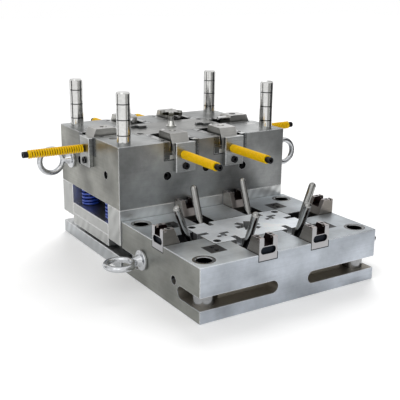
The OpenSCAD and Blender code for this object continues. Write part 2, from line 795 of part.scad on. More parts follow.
// Eyebolt along +Z, its ring in the XZ plane
module eyebolt() {
    ring_r = (ring_d - ring_t) / 2;
    translate([0, 0, -lift_hole_l + shank_gap])
        cylinder(h = lift_hole_l - shank_gap, d = lift_hole_d - 2 * seat);
    cylinder(h = collar_h, d = collar_d);
    cylinder(h = ring_reach - ring_r, d1 = neck_d, d2 = neck_top_d);
    translate([0, 0, ring_reach]) rotate([90, 0, 0]) rotate_extrude() translate([ring_r, 0]) circle(d = ring_t);
}

module moving_eyebolts() {
    color(steel) for (s = [-1, 1]) translate([s * plate_l / 2, -s * lift_y, lift_z])
        rotate([0, s * 90, 0]) eyebolt();
}

// Ejector

module ejector_plate(z, h) {
    translate([0, 0, z]) difference() {
        chamfered_block(plate_l, ejector_w, h, plate_chamfer);
        at_points(PILLAR_AT, -eps) cylinder(h = h + 2 * eps, d = pillar_d + 2 * pillar_clear);
    }
}

module ejector_base_plate() {
    color(alloy) difference() {
        ejector_plate(ejector_z, ejector_base_h);
        at_points(EJECTOR_SCREW_AT, ejector_z - eps) {
            cylinder(h = ejector_base_h + 2 * eps, d = ejector_screw_d + 2 * seat);
            cylinder(h = ejector_screw_d + head_sink + eps, d = ejector_screw_d * screw_head + head_play);
        }
        // thread for the press's ejector rod
        translate([0, 0, ejector_z - eps]) cylinder(h = rod_thread_l + eps, d = rod_thread_d);
    }
}

module ejector_retainer_plate() {
    color(alloy) difference() {
        ejector_plate(retainer_z, retainer_h);
        at_points(EJECTOR_AT, retainer_z - eps) {
            cylinder(h = retainer_h + 2 * eps, d = ejector_pin_d + 2 * seat);
            cylinder(h = pin_head_h + eps + seat, d = ejector_head_d + 2 * seat);
        }
        at_points(RETURN_AT, retainer_z - eps) {
            cylinder(h = retainer_h + 2 * eps, d = return_d + 2 * seat);
            cylinder(h = pin_head_h + eps + seat, d = return_head_d + 2 * seat);
        }
        at_points(EJECTOR_SCREW_AT, retainer_z - eps)
            cylinder(h = ejector_screw_bite + eps, d = ejector_screw_d + 2 * seat);
    }
}

module ejector_plate_screws() {
    color(dark) at_points(EJECTOR_SCREW_AT, retainer_z + ejector_screw_bite - tip_gap) mirror([0, 0, 1])
        cap_screw(ejector_screw_d, screw_l(ejector_base_h, ejector_screw_d, ejector_screw_bite));
}

module headed_pin(d, head_d, top) {
    cylinder(h = top - retainer_z, d = d);
    cylinder(h = pin_head_h, d = head_d);
}

module ejector_pins() {
    color(steel) at_points(EJECTOR_AT, retainer_z) headed_pin(ejector_pin_d, ejector_head_d, part_z);
}

module return_pins() {
    color(steel) at_points(RETURN_AT, retainer_z) headed_pin(return_d, return_head_d, part_z);
}

module return_springs() {
    l = return_spring_top - retainer_top;
    color("royalblue") at_points(RETURN_AT, retainer_top)
        coil_spring(return_spring_d, l, return_wire_w, return_wire_h, return_turns, 10);
}

// Sliders

module slider(i) {
    nose_u = slider_back + slider_l(i);
    back_z = -(heel_u - slider_back) / heel_tan;
    foot_z = -slider_drop + slide_clear;
    color(dark) at_station(i, part_z) difference() {
        union() {
            across(slider_w) polygon([[slider_back, foot_z], [slider_back, back_z],
                [heel_u + slider_rise * heel_tan, slider_rise], [nose_u - slider_nose_l, slider_rise],
                [nose_u, min(slider_nose_h, slider_rise)], [nose_u, foot_z]]);
            translate([-slider_w / 2 - flange_w, slider_back, foot_z])
                cube([slider_w + 2 * flange_w, slider_l(i), flange_h]);
        }
        translate([0, angle_pin_u(i) - slider_travel, 0]) rotate([-angle_pin_lean, 0, 0])
            cylinder(h = 3 * slider_drop, r = angle_hole_r, center = true);
        translate([0, slider_back - eps, -bolt_drop]) rotate([-90, 0, 0])
            cylinder(h = bolt_thread + tip_gap + eps, d = bolt_d + 2 * seat);
        translate([0, nose_u + eps, side_core_z]) rotate([90, 0, 0])
            cylinder(h = side_core_d + eps, d = side_core_d + 2 * seat);
    }
}

module side_core(i) {
    nose_u = slider_back + slider_l(i);
    color(steel) at_station(i, part_z) translate([0, nose_u - side_core_d, side_core_z]) rotate([-90, 0, 0]) {
        l = side_core_d + side_core_l - side_core_chamfer;
        cylinder(h = l, d = side_core_d);
        translate([0, 0, l])
            cylinder(h = side_core_chamfer, d1 = side_core_d, d2 = side_core_d - 2 * side_core_chamfer);
    }
}

module stroke_bolt(i) {
    head_at = slider_back + bolt_thread + bolt_tail;
    color(dark) at_station(i, part_z) translate([0, slider_back + bolt_thread, -bolt_drop]) rotate([90, 0, 0])
        difference() {
            union() {
                cylinder(h = head_at + bolt_head_l, d = bolt_d);
                translate([0, 0, head_at]) cylinder(h = bolt_head_l, d = bolt_head_d);
            }
            translate([0, 0, head_at + bolt_head_l / 2])
                cylinder(h = bolt_head_l, d = bolt_head_d * socket_share, $fn = 6);
        }
}

module slider_spring(i) {
    color("gold") at_station(i, part_z) translate([0, -stop_t, -bolt_drop]) rotate([90, 0, 0])
        coil_spring(spring_d, spring_l, spring_wire_w, spring_wire_h, spring_turns, 8);
}

// Fixed half, drawn about its own centre

module clamp_slots() {
    r = slot_h / 2;
    slot_hole_z = slot_lip + slot_hole_rise;
    for (sx = [-1, 1], sy = [-1, 1]) {
        // long slot, open on the long side, round at its inner end
        translate([sx * (plate_l / 2 - slot_l + r), sy * (plate_w / 2 - slot_d), slot_lip + r])
            rotate([-sy * 90, 0, 0]) cylinder(h = slot_d + eps, r = r);
        translate([sx * (plate_l - slot_l + r + eps) / 2, sy * (plate_w - slot_d + eps) / 2, slot_lip + r])
            cube([slot_l - r + eps, slot_d + eps, slot_h], center = true);
        // corner pocket, open on the short side
        translate([sx * (plate_l / 2 - corner_x), sy * (plate_w / 2 - corner_y + r), slot_lip + r])
            rotate([0, sx * 90, 0]) cylinder(h = corner_x + eps, r = r);
        translate([sx * (plate_l - corner_x + eps) / 2, sy * (plate_w - corner_y + r + eps) / 2, slot_lip + r])
            cube([corner_x + eps, corner_y - r + eps, slot_h], center = true);
        translate([sx * (plate_l / 2 - slot_hole_inset), sy * (plate_w / 2 - slot_d), slot_hole_z])
            rotate([sy * 90, 0, 0]) cylinder(h = slot_hole_l, d = slot_hole_d);
    }
}

module fixed_pocket(i) {
    reach = station_reach(i);
    w = slider_w + 2 * shut_room;
    translate([-lock_w / 2 - seat, -eps, -lock_seat])
        cube([lock_w + 2 * seat, lock_depth + eps + seat, lock_seat + eps]);
    translate([-w / 2, lock_depth, -fixed_pocket_h]) cube([w, reach - lock_depth + eps, fixed_pocket_h + eps]);
    translate([0, angle_pin_u(i), 0]) rotate([angle_pin_lean, 0, 0])
        translate([0, 0, -(fixed_pocket_h + angle_pin_seat) / cos(angle_pin_lean)])
            cylinder(h = angle_pin_seat + 2 * fixed_pocket_h, d = angle_pin_d + 2 * seat);
    for (s = [-1, 1]) translate([s * lock_screw_x, lock_screw_u, -lock_seat - lock_screw_bite])
        cylinder(h = lock_screw_bite + eps, d = lock_screw_d + 2 * seat);
}

module fixed_plate() {
    color(alloy) translate(fixed_at) difference() {
        chamfered_block(plate_l, plate_w, fixed_h, plate_chamfer);
        clamp_slots();
        translate([0, 0, fixed_h - cavity_insert_h])
            rounded_block(insert_l, insert_w, cavity_insert_h + eps, insert_r);
        for (i = [0:STATION_COUNT - 1]) at_station(i, fixed_h) fixed_pocket(i);
        at_points(GUIDE_AT, 0) {
            translate([0, 0, bush_z]) cylinder(h = fixed_h, d = guide_d + 2 * bush_wall + 2 * seat);
            translate([0, 0, fixed_h - bush_top_h - seat])
                cylinder(h = bush_top_h + eps, d = guide_d + 2 * bush_wall + 2 * bush_head_wall + 2 * seat);
            translate([0, 0, -eps]) cylinder(h = fixed_h, d = guide_d + 2 * guide_exit_play);
        }
        at_points(PAD_AT, fixed_h - pad_h) {
            translate([0, 0, (pad_h + eps) / 2])
                cube([pad_x + 2 * seat, pad_y + 2 * seat, pad_h + eps], center = true);
            for (s = [-1, 1]) translate([0, s * pad_screw_pitch / 2, -pad_screw_bite])
                cylinder(h = pad_screw_bite + eps, d = pad_screw_d + 2 * seat);
        }
        at_points(INSERT_SCREW_AT, fixed_h - cavity_insert_h - insert_screw_bite)
            cylinder(h = insert_screw_bite + eps, d = insert_screw_d + 2 * seat);
        for (sx = [-1, 1], sy = [-1, 1])
            translate([sx * plate_l / 2, sy * fixed_lift_y, fixed_lift_z]) rotate([0, -sx * 90, 0])
                translate([0, 0, -eps]) cylinder(h = lift_hole_l + eps, d = lift_hole_d);
        translate([0, 0, -eps]) {
            cylinder(h = register_h + eps, d = register_d + 2 * seat);
            cylinder(h = register_h + sprue_head_h + eps + seat, d = sprue_head_d + 2 * seat);
            cylinder(h = fixed_h, d = sprue_d + 2 * seat);
        }
        at_points(REGISTER_SCREW_AT, register_h - eps)
            cylinder(h = register_screw_bite + eps, d = register_screw_d + 2 * seat);
    }
}

module cavity_insert() {
    top = cavity_insert_h;
    depth = post_h + wall_gap;
    color(alloy) translate(fixed_at + [0, 0, fixed_h - cavity_insert_h]) difference() {
        rounded_block(insert_l - 2 * insert_gap, insert_w - 2 * insert_gap, top, insert_r);
        translate([0, 0, top - depth])
            star(cap_d + 2 * wall_gap, cap_hub_d + 2 * wall_gap, cap_arm_w + 2 * wall_gap, depth + eps);
        for (s = [-1, 1]) translate([s * rib_x, s * rib_y, top - rib_h - wall_gap]) mirror([0, 1, 0])
            stepped_rib(rib_w + 2 * wall_gap, rib_leg, rib_h + wall_gap + eps);
        translate([0, 0, -eps]) cylinder(h = top, d = sprue_d + 2 * seat);
        at_points(INSERT_SCREW_AT, 0)
            cap_screw_room(insert_screw_d, top - insert_screw_d - head_sink, 2 * insert_screw_d);
        for (i = [0:STATION_COUNT - 1]) translate([0, 0, top]) side_core_room(i);
    }
}

// Trough that clears a side core when the halves are shut
module side_core_room(i) {
    reach = station_reach(i);
    r = side_core_d / 2 + shut_room;
    at_station(i, 0) translate([-r, reach - eps, -side_core_z - r])
        cube([2 * r, side_core_l + 2 * eps, r + side_core_z + eps]);
}

module cavity_insert_screws() {
    tip_z = fixed_h - cavity_insert_h - insert_screw_bite + tip_gap;
    color(dark) translate(fixed_at) at_points(INSERT_SCREW_AT, tip_z)
        cap_screw(insert_screw_d, screw_l(cavity_insert_h, insert_screw_d, insert_screw_bite));
}

module guide_bushes() {
    od = guide_d + 2 * bush_wall;
    color(steel) translate(fixed_at) at_points(GUIDE_AT, bush_z) difference() {
        union() {
            cylinder(h = fixed_h - bush_z, d = od);
            translate([0, 0, fixed_h - bush_z - bush_top_h])
                cylinder(h = bush_top_h, d = od + 2 * bush_head_wall);
        }
        translate([0, 0, -eps]) cylinder(h = fixed_h, d = guide_d + 2 * guide_clear);
        translate([0, 0, fixed_h - bush_z - bush_mouth])
            cylinder(h = bush_mouth + eps, d1 = guide_d, d2 = guide_d + 2 * (bush_mouth + eps));
    }
}

module angle_pins() {
    l = (fixed_pocket_h + angle_pin_seat + angle_pin_h - angle_pin_d / 2) / cos(angle_pin_lean);
    color(dark) translate(fixed_at) for (i = [0:STATION_COUNT - 1]) at_station(i, fixed_h)
        translate([0, angle_pin_u(i), 0]) rotate([angle_pin_lean, 0, 0])
            translate([0, 0, -(fixed_pocket_h + angle_pin_seat) / cos(angle_pin_lean)]) {
                cylinder(h = l, d = angle_pin_d);
                translate([0, 0, l]) difference() {
                    sphere(d = angle_pin_d);
                    translate([0, 0, -angle_pin_d]) cylinder(h = angle_pin_d, d = 2 * angle_pin_d);
                }
            }
}

module locking_blocks() {
    top_u = lock_depth - lock_h * heel_tan;
    color(dark) translate(fixed_at) for (i = [0:STATION_COUNT - 1]) at_station(i, fixed_h) difference() {
        across(lock_w) polygon([[0, -lock_seat], [lock_depth, -lock_seat], [lock_depth, 0],
            [top_u, lock_h], [lock_chamfer, lock_h], [0, lock_h - lock_chamfer]]);
        // slot for the spring
        translate([-lock_slot_w / 2, -eps, lock_slot_z]) cube([lock_slot_w, lock_depth, lock_h]);
        // relief in the outer face
        translate([0, -eps, lock_relief_z]) rotate([-90, 0, 0]) linear_extrude(lock_relief_d + eps) {
            square([lock_relief_w - lock_relief_h, lock_relief_h], center = true);
            for (s = [-1, 1]) translate([s * (lock_relief_w - lock_relief_h) / 2, 0])
                circle(d = lock_relief_h);
        }
        // groove across the top
        translate([-lock_w / 2 - eps, lock_groove_w, lock_h - lock_groove_w])
            cube([lock_w + 2 * eps, lock_groove_w, lock_groove_w + eps]);
        for (s = [-1, 1]) translate([s * lock_screw_x, lock_screw_u, -lock_seat - eps]) {
            cylinder(h = lock_seat + lock_h, d = lock_screw_d + 2 * seat);
            translate([0, 0, eps + lock_seat + lock_h - lock_screw_d])
                cylinder(h = lock_screw_d + eps, d = lock_screw_d * screw_head + lock_head_play);
        }
    }
}

module locking_block_screws() {
    l = lock_h - lock_screw_d + lock_seat + lock_screw_bite - tip_gap;
    color(dark) translate(fixed_at) for (i = [0:STATION_COUNT - 1]) at_station(i, fixed_h)
        for (s = [-1, 1]) translate([s * lock_screw_x, lock_screw_u, -lock_seat - lock_screw_bite + tip_gap])
            cap_screw(lock_screw_d, l);
}

module landing_pads() {
    color(dark) translate(fixed_at) at_points(PAD_AT, fixed_h - pad_h) difference() {
        translate([-pad_x / 2, -pad_y / 2, 0]) cube([pad_x, pad_y, pad_h]);
        for (s = [-1, 1]) translate([0, s * pad_screw_pitch / 2, 0])
            cap_screw_room(pad_screw_d, pad_h - pad_screw_d - head_sink, 2 * pad_h);
    }
}

module landing_pad_screws() {
    l = screw_l(pad_h, pad_screw_d, pad_screw_bite);
    color(dark) translate(fixed_at) at_points(PAD_AT, fixed_h - pad_h - pad_screw_bite + tip_gap)
        for (s = [-1, 1]) translate([0, s * pad_screw_pitch / 2, 0]) cap_screw(pad_screw_d, l);
}

module sprue_bush() {
    color(steel) translate(fixed_at + [0, 0, sprue_z]) difference() {
        union() {
            cylinder(h = sprue_head_h, d = sprue_head_d);
            cylinder(h = sprue_top - sprue_z, d = sprue_d);
        }
        translate([0, 0, -eps]) cylinder(h = sprue_top - sprue_z + 2 * eps, d1 = sprue_in_d, d2 = sprue_out_d);
        sphere(d = nozzle_d);
    }
}

module locating_ring() {
    color(steel) translate(fixed_at) difference() {
        cylinder(h = register_h, d = register_d);
        translate([0, 0, -eps]) cylinder(h = register_h + 2 * eps, d = register_bore_d);
        at_points(REGISTER_SCREW_AT, -eps) {
            cylinder(h = register_h + 2 * eps, d = register_screw_d + 2 * seat);
            cylinder(h = register_screw_d + head_sink + eps, d = register_screw_d * screw_head + head_play);
        }
    }
}

module locating_ring_screws() {
    l = screw_l(register_h, register_screw_d, register_screw_bite);
    color(dark) translate(fixed_at) at_points(REGISTER_SCREW_AT, register_h + register_screw_bite - tip_gap)
        mirror([0, 0, 1]) cap_screw(register_screw_d, l);
}

module fixed_eyebolts() {
    color(steel) translate(fixed_at) for (s = [-1, 1])
        translate([s * plate_l / 2, -s * fixed_lift_y, fixed_lift_z])
            rotate([0, s * 90, 0]) rotate([0, 0, 90]) eyebolt();
}

clamp_plate();
spacer_front();
spacer_back();
core_plate();
core_insert();
centre_post();
guide_pins();
gib_rails();
gib_screws();
stop_plates();
stop_plate_screws();
core_insert_screws();
support_pillars();
rest_buttons();
base_screws();
moving_eyebolts();
ejector_base_plate();
ejector_retainer_plate();
ejector_plate_screws();
ejector_pins();
return_pins();
return_springs();
fixed_plate();
cavity_insert();
cavity_insert_screws();
guide_bushes();
angle_pins();
locking_blocks();
locking_block_screws();
landing_pads();
landing_pad_screws();
sprue_bush();
locating_ring();
locating_ring_screws();
fixed_eyebolts();
for (i = [0:STATION_COUNT - 1]) {
    slider(i);
    side_core(i);
    stroke_bolt(i);
    slider_spring(i);
}
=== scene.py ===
# %% [markdown]
# An opened injection mould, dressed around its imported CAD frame.
#
# Almost everything on a mould is a machined block, pin or plate, and the frame already holds those
# at their real size. So most of this lesson is about finishes: how ground, milled, polished and
# blackened metal differ, and how each of them is written with procedural nodes. The coil springs
# and the forged eyebolts are remodelled here, because their smooth forms are what the frame leaves
# plain.

# %% Load the frame
import json
import math

import bpy
from mathutils import Matrix, Vector


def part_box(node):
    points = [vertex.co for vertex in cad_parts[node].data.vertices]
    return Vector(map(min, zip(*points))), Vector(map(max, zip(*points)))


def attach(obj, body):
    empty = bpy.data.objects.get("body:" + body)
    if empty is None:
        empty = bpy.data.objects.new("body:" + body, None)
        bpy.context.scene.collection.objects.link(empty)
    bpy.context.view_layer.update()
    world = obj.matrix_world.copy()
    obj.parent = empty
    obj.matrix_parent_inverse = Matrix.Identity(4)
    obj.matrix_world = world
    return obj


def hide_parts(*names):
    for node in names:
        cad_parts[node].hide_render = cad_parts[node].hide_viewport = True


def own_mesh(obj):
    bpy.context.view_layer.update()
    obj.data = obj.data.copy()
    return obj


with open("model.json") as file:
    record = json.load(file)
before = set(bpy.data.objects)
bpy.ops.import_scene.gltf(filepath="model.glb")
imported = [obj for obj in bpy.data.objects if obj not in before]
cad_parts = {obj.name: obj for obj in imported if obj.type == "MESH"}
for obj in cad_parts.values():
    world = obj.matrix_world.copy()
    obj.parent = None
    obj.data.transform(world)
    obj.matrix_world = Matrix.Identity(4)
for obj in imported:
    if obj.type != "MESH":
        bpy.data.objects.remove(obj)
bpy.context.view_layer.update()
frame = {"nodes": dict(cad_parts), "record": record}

MM = 0.001

# %% [markdown]
# The camera comes first. Its place was worked out from the corners of both mould halves in the
# photograph: a camera with this focal length, at this point, sees each corner within about one
# pixel. Yaw turns from +Y towards +X, pitch looks down, and roll is the small tilt of the horizon.

# %% Camera
CAMERA_AT = Vector((-1.006, -1.7353, 0.6913))
CAMERA_YAW = math.radians(32.43)
CAMERA_PITCH = math.radians(16.396)
CAMERA_ROLL = math.radians(0.607)
SENSOR_MM = 36.0
FOCAL_SHARE = 1.8448  # focal length as a share of the sensor's width
FARTHEST_SEEN = 50  # metres


def look(yaw, pitch, roll):
    """The turn of a camera that looks along a direction given by its angles."""
    ahead = Vector((math.sin(yaw) * math.cos(pitch), math.cos(yaw) * math.cos(pitch),
                    -math.sin(pitch)))
    level = Vector((math.cos(yaw), -math.sin(yaw), 0.0))
    over = level.cross(ahead)
    right = math.cos(roll) * level + math.sin(roll) * over
    up = -math.sin(roll) * level + math.cos(roll) * over
    return Matrix((right, up, -ahead)).transposed()


bpy.ops.object.camera_add(location=CAMERA_AT)
camera = bpy.context.object
camera.name = "camera"
camera.rotation_euler = look(CAMERA_YAW, CAMERA_PITCH, CAMERA_ROLL).to_euler()
camera.data.sensor_width = SENSOR_MM
camera.data.sensor_fit = "HORIZONTAL"
camera.data.lens = SENSOR_MM * FOCAL_SHARE
camera.data.clip_end = FARTHEST_SEEN
bpy.context.scene.camera = camera
print("lens in mm", round(camera.data.lens, 2))

# %% [markdown]
# Three small helpers serve every material. Colours are written as the sRGB hex values that a person
# would pick from a swatch, and Blender wants them linear. A material is a tree of nodes, so one
# function starts an empty tree, and another adds a node, sets its values and links its inputs.

# %% Colour and node helpers


def linear(code):
    """A hex colour such as "B4BAC2" as a linear RGBA colour."""
    channels = [int(code[i:i + 2], 16) / 255 for i in (0, 2, 4)]
    return [c / 12.92 if c <= 0.04045 else ((c + 0.055) / 1.055) ** 2.4 for c in channels] + [1.0]


def add(material, kind, inputs=None, **settings):
    """Adds a node. An input is a value, or the output socket that feeds it."""
    tree = material.node_tree
    node = tree.nodes.new(kind)
    for name, value in settings.items():
        setattr(node, name, value)
    for key, value in (inputs or {}).items():
        if isinstance(value, bpy.types.NodeSocket):
            tree.links.new(value, node.inputs[key])
        else:
            node.inputs[key].default_value = value
    return node


def new_material(name):
    """An empty material with its node tree, and its output node."""
    material = bpy.data.materials.new(name)
    material.use_nodes = True
    material.node_tree.nodes.clear()
    return material, add(material, "ShaderNodeOutputMaterial")


print("the middle grey 808080 is", round(linear("808080")[0], 3), "in linear light")

# %% [markdown]
# A machined plate isn't one even colour. Its top, its long sides and its ends are each painted a
# tone of their own, lighter or darker as light falls on them, its pockets are painted dark as
# shade, and a hair of shadow stands wherever a block is let into it. All of that is told from two
# things that a material can read: which way a face looks, and where a point lies on the piece. Each
# half is its own mirror image about its middle, both lengthwise and crosswise, so the place is
# folded into one quarter first, and one box then serves four corners.

# %% Where a point lies on a piece
SEAM_WIDTH = 2.4 * MM
SEAM_CORE = 0.8  # share of the seam's width that has its full colour
MOVING_MIDDLE = Vector((0, 0, 0))
low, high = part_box("fixed_plate")
FIXED_MIDDLE = Vector(((low.x + high.x) / 2, (low.y + high.y) / 2, 0))
print("middle of the fixed half", FIXED_MIDDLE)


def folded_place(material, middle):
    """The place on the piece, measured from the middle of its half and folded into one quarter."""
    place = add(material, "ShaderNodeTexCoord").outputs["Object"]
    away = add(material, "ShaderNodeVectorMath", {0: place, 1: middle},
               operation="SUBTRACT").outputs[0]
    return add(material, "ShaderNodeVectorMath", {0: away}, operation="ABSOLUTE").outputs[0]


def box_distance(material, place, low, high):
    """How far a point stands outside a box given by two corners. It is below 0 inside."""
    low, high = Vector(low), Vector(high)
    away = add(material, "ShaderNodeVectorMath", {0: place, 1: (low + high) / 2},
               operation="SUBTRACT")
    away = add(material, "ShaderNodeVectorMath", {0: away.outputs[0]}, operation="ABSOLUTE")
    away = add(material, "ShaderNodeVectorMath", {0: away.outputs[0], 1: (high - low) / 2},
               operation="SUBTRACT")
    split = add(material, "ShaderNodeSeparateXYZ", {0: away.outputs[0]}).outputs
    level = add(material, "ShaderNodeMath", {0: split[0], 1: split[1]},
                operation="MAXIMUM").outputs[0]
    return add(material, "ShaderNodeMath", {0: level, 1: split[2]}, operation="MAXIMUM").outputs[0]


def inside_share(material, place, boxes, reach):
    """1 in any of the boxes and up to reach outside them, and 0 elsewhere."""
    nearest = box_distance(material, place, *boxes[0])
    for box in boxes[1:]:
        other = box_distance(material, place, *box)
        nearest = add(material, "ShaderNodeMath", {0: nearest, 1: other},
                      operation="MINIMUM").outputs[0]
    return add(material, "ShaderNodeMapRange", {
        0: nearest, 1: reach * SEAM_CORE, 2: reach, 3: 1.0, 4: 0.0}).outputs[0]


def painted_light_by_facing(material, top, side, end):
    """Painted light: one colour for faces that look up, one for the long sides, one for the ends.
    """
    normal = add(material, "ShaderNodeNewGeometry").outputs["True Normal"]
    size = add(material, "ShaderNodeVectorMath", {0: normal}, operation="ABSOLUTE").outputs[0]
    split = add(material, "ShaderNodeSeparateXYZ", {0: size}).outputs
    walls = add(material, "ShaderNodeMix", {0: split[0], 6: linear(side), 7: linear(end)},
                data_type="RGBA").outputs[2]
    return add(material, "ShaderNodeMix", {0: split[2], 6: walls, 7: linear(top)},
               data_type="RGBA").outputs[2]


# %% [markdown]
# Ground plate. A surface grinder leaves fine straight scratches along the table's travel, here
# along the plate's long side, and along Y on the end faces. Each scratch is far finer than a pixel,
# so the grain is drawn 2.5 mm wide and 140 mm long, just coarse enough to read as brushed metal. It
# moves the roughness and the brightness a little and tips the normal through a bump. Slow patches
# of haze stop the face from looking printed. A mask of the edges, made by comparing the true normal
# with a rounded one, puts a painted highlight on the chamfers: a bright line where they would catch
# the light.

# %% Ground metal
GRAIN_WIDTH = 2.5 * MM
GRAIN_LENGTH = 140 * MM
HAZE_SIZE = 110 * MM
STAIN_SIZE = 22 * MM
GRAIN_DEPTH = 0.1 * MM
EDGE_WIDTH = 1.6 * MM
EDGE_STARTS, EDGE_FULL = 0.985, 0.90  # how alike the true and the rounded normal are
MARK_AND_SHADE_ROUGHNESS = 0.5
HAZE_DARKENS, HAZE_BRIGHTENS, HAZE_IN_STAINS = 0.7, 0.3, 0.35  # shares of a metal's haze
SCRATCH_DULLS, SCRATCH_SHINES = 0.05, 0.04  # roughness

# A noise seldom leaves these ranges. The narrower one is, the harder its pattern looks.
HAZE_RANGE = (0.33, 0.67)
STAIN_RANGE = (0.3, 0.7)
SCRATCH_RANGE = (0.35, 0.65)


def grain(material, across):
    """Scratch pattern: along X everywhere, but along Y on faces that look along X."""
    place = add(material, "ShaderNodeTexCoord").outputs["Object"]
    facing = add(material, "ShaderNodeNewGeometry").outputs["True Normal"]
    side = add(material, "ShaderNodeSeparateXYZ", {0: facing}).outputs[0]
    on_end = add(material, "ShaderNodeMath", {0: side}, operation="ABSOLUTE").outputs[0]
    patterns = []
    for axis in (0, 1):
        scale = [1 / across] * 3
        scale[axis] = 1 / GRAIN_LENGTH
        mapped = add(material, "ShaderNodeMapping", {0: place, "Scale": scale}).outputs[0]
        patterns.append(add(material, "ShaderNodeTexNoise", {
            "Vector": mapped, "Scale": 1.0, "Detail": 3.0, "Roughness": 0.6}).outputs["Fac"])
    both = add(material, "ShaderNodeMix", {0: on_end, 2: patterns[0], 3: patterns[1]})
    return both.outputs[0], place


def edge_mask(material, width):
    """1 on edges and 0 on flat faces."""
    rounded = add(material, "ShaderNodeBevel", {"Radius": width}, samples=4).outputs[0]
    true = add(material, "ShaderNodeNewGeometry").outputs["Normal"]
    same = add(material, "ShaderNodeVectorMath", {0: rounded, 1: true}, operation="DOT_PRODUCT")
    return add(material, "ShaderNodeMapRange", {
        0: same.outputs["Value"], 1: EDGE_STARTS, 2: EDGE_FULL, 3: 0.0, 4: 1.0}).outputs[0]


def ground_metal(name, colours, roughness, haze=0.3, scratches=0.1, edge="F2F4F6", bump=0.1,
                 middle=None, marks_and_painted_shade=(), edge_width=EDGE_WIDTH, metallic=1.0):
    """colours are those of top, side and end, with painted light. haze and scratches are shares of
    the brightness. edge is the colour of the painted highlight on edges. Places are (boxes, reach,
    colour): seams, clean faces, and the painted shade inside pockets and slots."""
    material, out = new_material(name)
    scratch, place = grain(material, GRAIN_WIDTH)
    cloud = add(material, "ShaderNodeTexNoise", {
        "Vector": place, "Scale": 1 / HAZE_SIZE, "Detail": 1.5}).outputs["Fac"]
    stain = add(material, "ShaderNodeTexNoise", {
        "Vector": place, "Scale": 1 / STAIN_SIZE, "Detail": 3.0, "Roughness": 0.7}).outputs["Fac"]
    face = painted_light_by_facing(material, *colours)
    value = add(material, "ShaderNodeMapRange", {
        0: cloud, 1: HAZE_RANGE[0], 2: HAZE_RANGE[1], 3: 1 - haze * HAZE_DARKENS,
        4: 1 + haze * HAZE_BRIGHTENS}).outputs[0]
    for pattern, share in ((stain, haze * HAZE_IN_STAINS), (scratch, scratches)):
        layer = add(material, "ShaderNodeMapRange", {
            0: pattern, 1: STAIN_RANGE[0], 2: STAIN_RANGE[1], 3: 1 - share / 2,
            4: 1 + share / 2}).outputs[0]
        value = add(material, "ShaderNodeMath", {0: value, 1: layer},
                    operation="MULTIPLY").outputs[0]
    face = add(material, "ShaderNodeHueSaturation", {"Color": face, "Value": value}).outputs[0]
    # painted highlight: the edges are mixed towards a bright colour, where a chamfer catches light
    edge_highlight = edge_mask(material, edge_width)
    face = add(material, "ShaderNodeMix", {0: edge_highlight, 6: face, 7: linear(edge)},
               data_type="RGBA").outputs[2]
    rough = add(material, "ShaderNodeMapRange", {
        0: scratch, 1: SCRATCH_RANGE[0], 2: SCRATCH_RANGE[1], 3: roughness + SCRATCH_DULLS,
        4: roughness - SCRATCH_SHINES}).outputs[0]
    if middle is not None:
        quarter = folded_place(material, middle)
        for boxes, reach, colour in marks_and_painted_shade:
            share = inside_share(material, quarter, boxes, reach)
            face = add(material, "ShaderNodeMix", {0: share, 6: face, 7: linear(colour)},
                       data_type="RGBA").outputs[2]
            rough = add(material, "ShaderNodeMix", {
                0: share, 2: rough, 3: MARK_AND_SHADE_ROUGHNESS}).outputs[0]
    normal = add(material, "ShaderNodeBump", {
        "Height": scratch, "Strength": bump, "Distance": GRAIN_DEPTH}).outputs[0]
    shader = add(material, "ShaderNodeBsdfPrincipled", {
        "Base Color": face, "Metallic": metallic, "Roughness": rough, "Normal": normal})
    material.node_tree.links.new(shader.outputs[0], out.inputs[0])
    return material


print("the grain is", GRAIN_WIDTH / MM, "mm wide and", GRAIN_LENGTH / MM, "mm long")

# %% [markdown]
# The boxes below are the places that differ, in metres from the middle of each half. A plate's
# inside starts 2 mm behind its faces, so every pocket and bore is painted dark as shade from there
# on, and the wide slots low in the fixed plate get a lighter painted shade, a light brown grey. The
# seams are drawn around the insert, around the way of each slider with its two gib rails, and
# around the locking blocks and landing pads.

# %% Places that differ
PLATE_L, PLATE_W = 500 * MM, 360 * MM
INSERT_L, INSERT_W = 280 * MM, 140 * MM
CORE_LOW_Z, PARTING_Z = 155 * MM, 313 * MM
FIXED_LOW_Z, FIXED_SLOT_TOP_Z, FIXED_Z = 28 * MM, 62 * MM, 128 * MM
INSIDE = 2 * MM
SHARP = 0.001 * MM  # reach of a box whose colour ends at its very edge
FAR = 1.0

STATION_X = 74 * MM
WAY_HALF, WAY_DEPTH, WAY_LOW_Z = 49.3 * MM, 110 * MM, 267 * MM
LOCK_HALF, LOCK_DEPTH, LOCK_LOW_Z = 24.5 * MM, 45 * MM, 113 * MM
LOCK_FACE_SKIN = 0.7 * MM
LOCK_SLOT_HALF, LOCK_SLOT_LOW_Z = 12.1 * MM, 146 * MM
RELIEF_HALF, RELIEF_DEPTH, RELIEF_SKIN = 21 * MM, 6 * MM, 0.4 * MM
RELIEF_LOW_Z, RELIEF_HIGH_Z = 126 * MM, 145 * MM
PAD_LOW, PAD_HIGH = (141 * MM, 76 * MM, 118 * MM), (179 * MM, 116 * MM, FAR)


def station_boxes(half, depth, low_z, high_z, skin=0.0):
    """The folded boxes of a feature at the stations of the long sides and of the ends. They reach
    out past the plate, unless they start under a skin."""
    side, end = PLATE_W / 2 - skin, PLATE_L / 2 - skin
    past = 0.0 if skin else FAR
    return [((STATION_X - half, side - depth, low_z), (STATION_X + half, side + past, high_z)),
            ((end - depth, -half, low_z), (end + past, half, high_z))]


def plate_inside(low_z, high_z):
    """The inside of a plate between two levels."""
    return [((-PLATE_L / 2 + INSIDE, -PLATE_W / 2 + INSIDE, low_z + INSIDE),
             (PLATE_L / 2 - INSIDE, PLATE_W / 2 - INSIDE, high_z - INSIDE))]


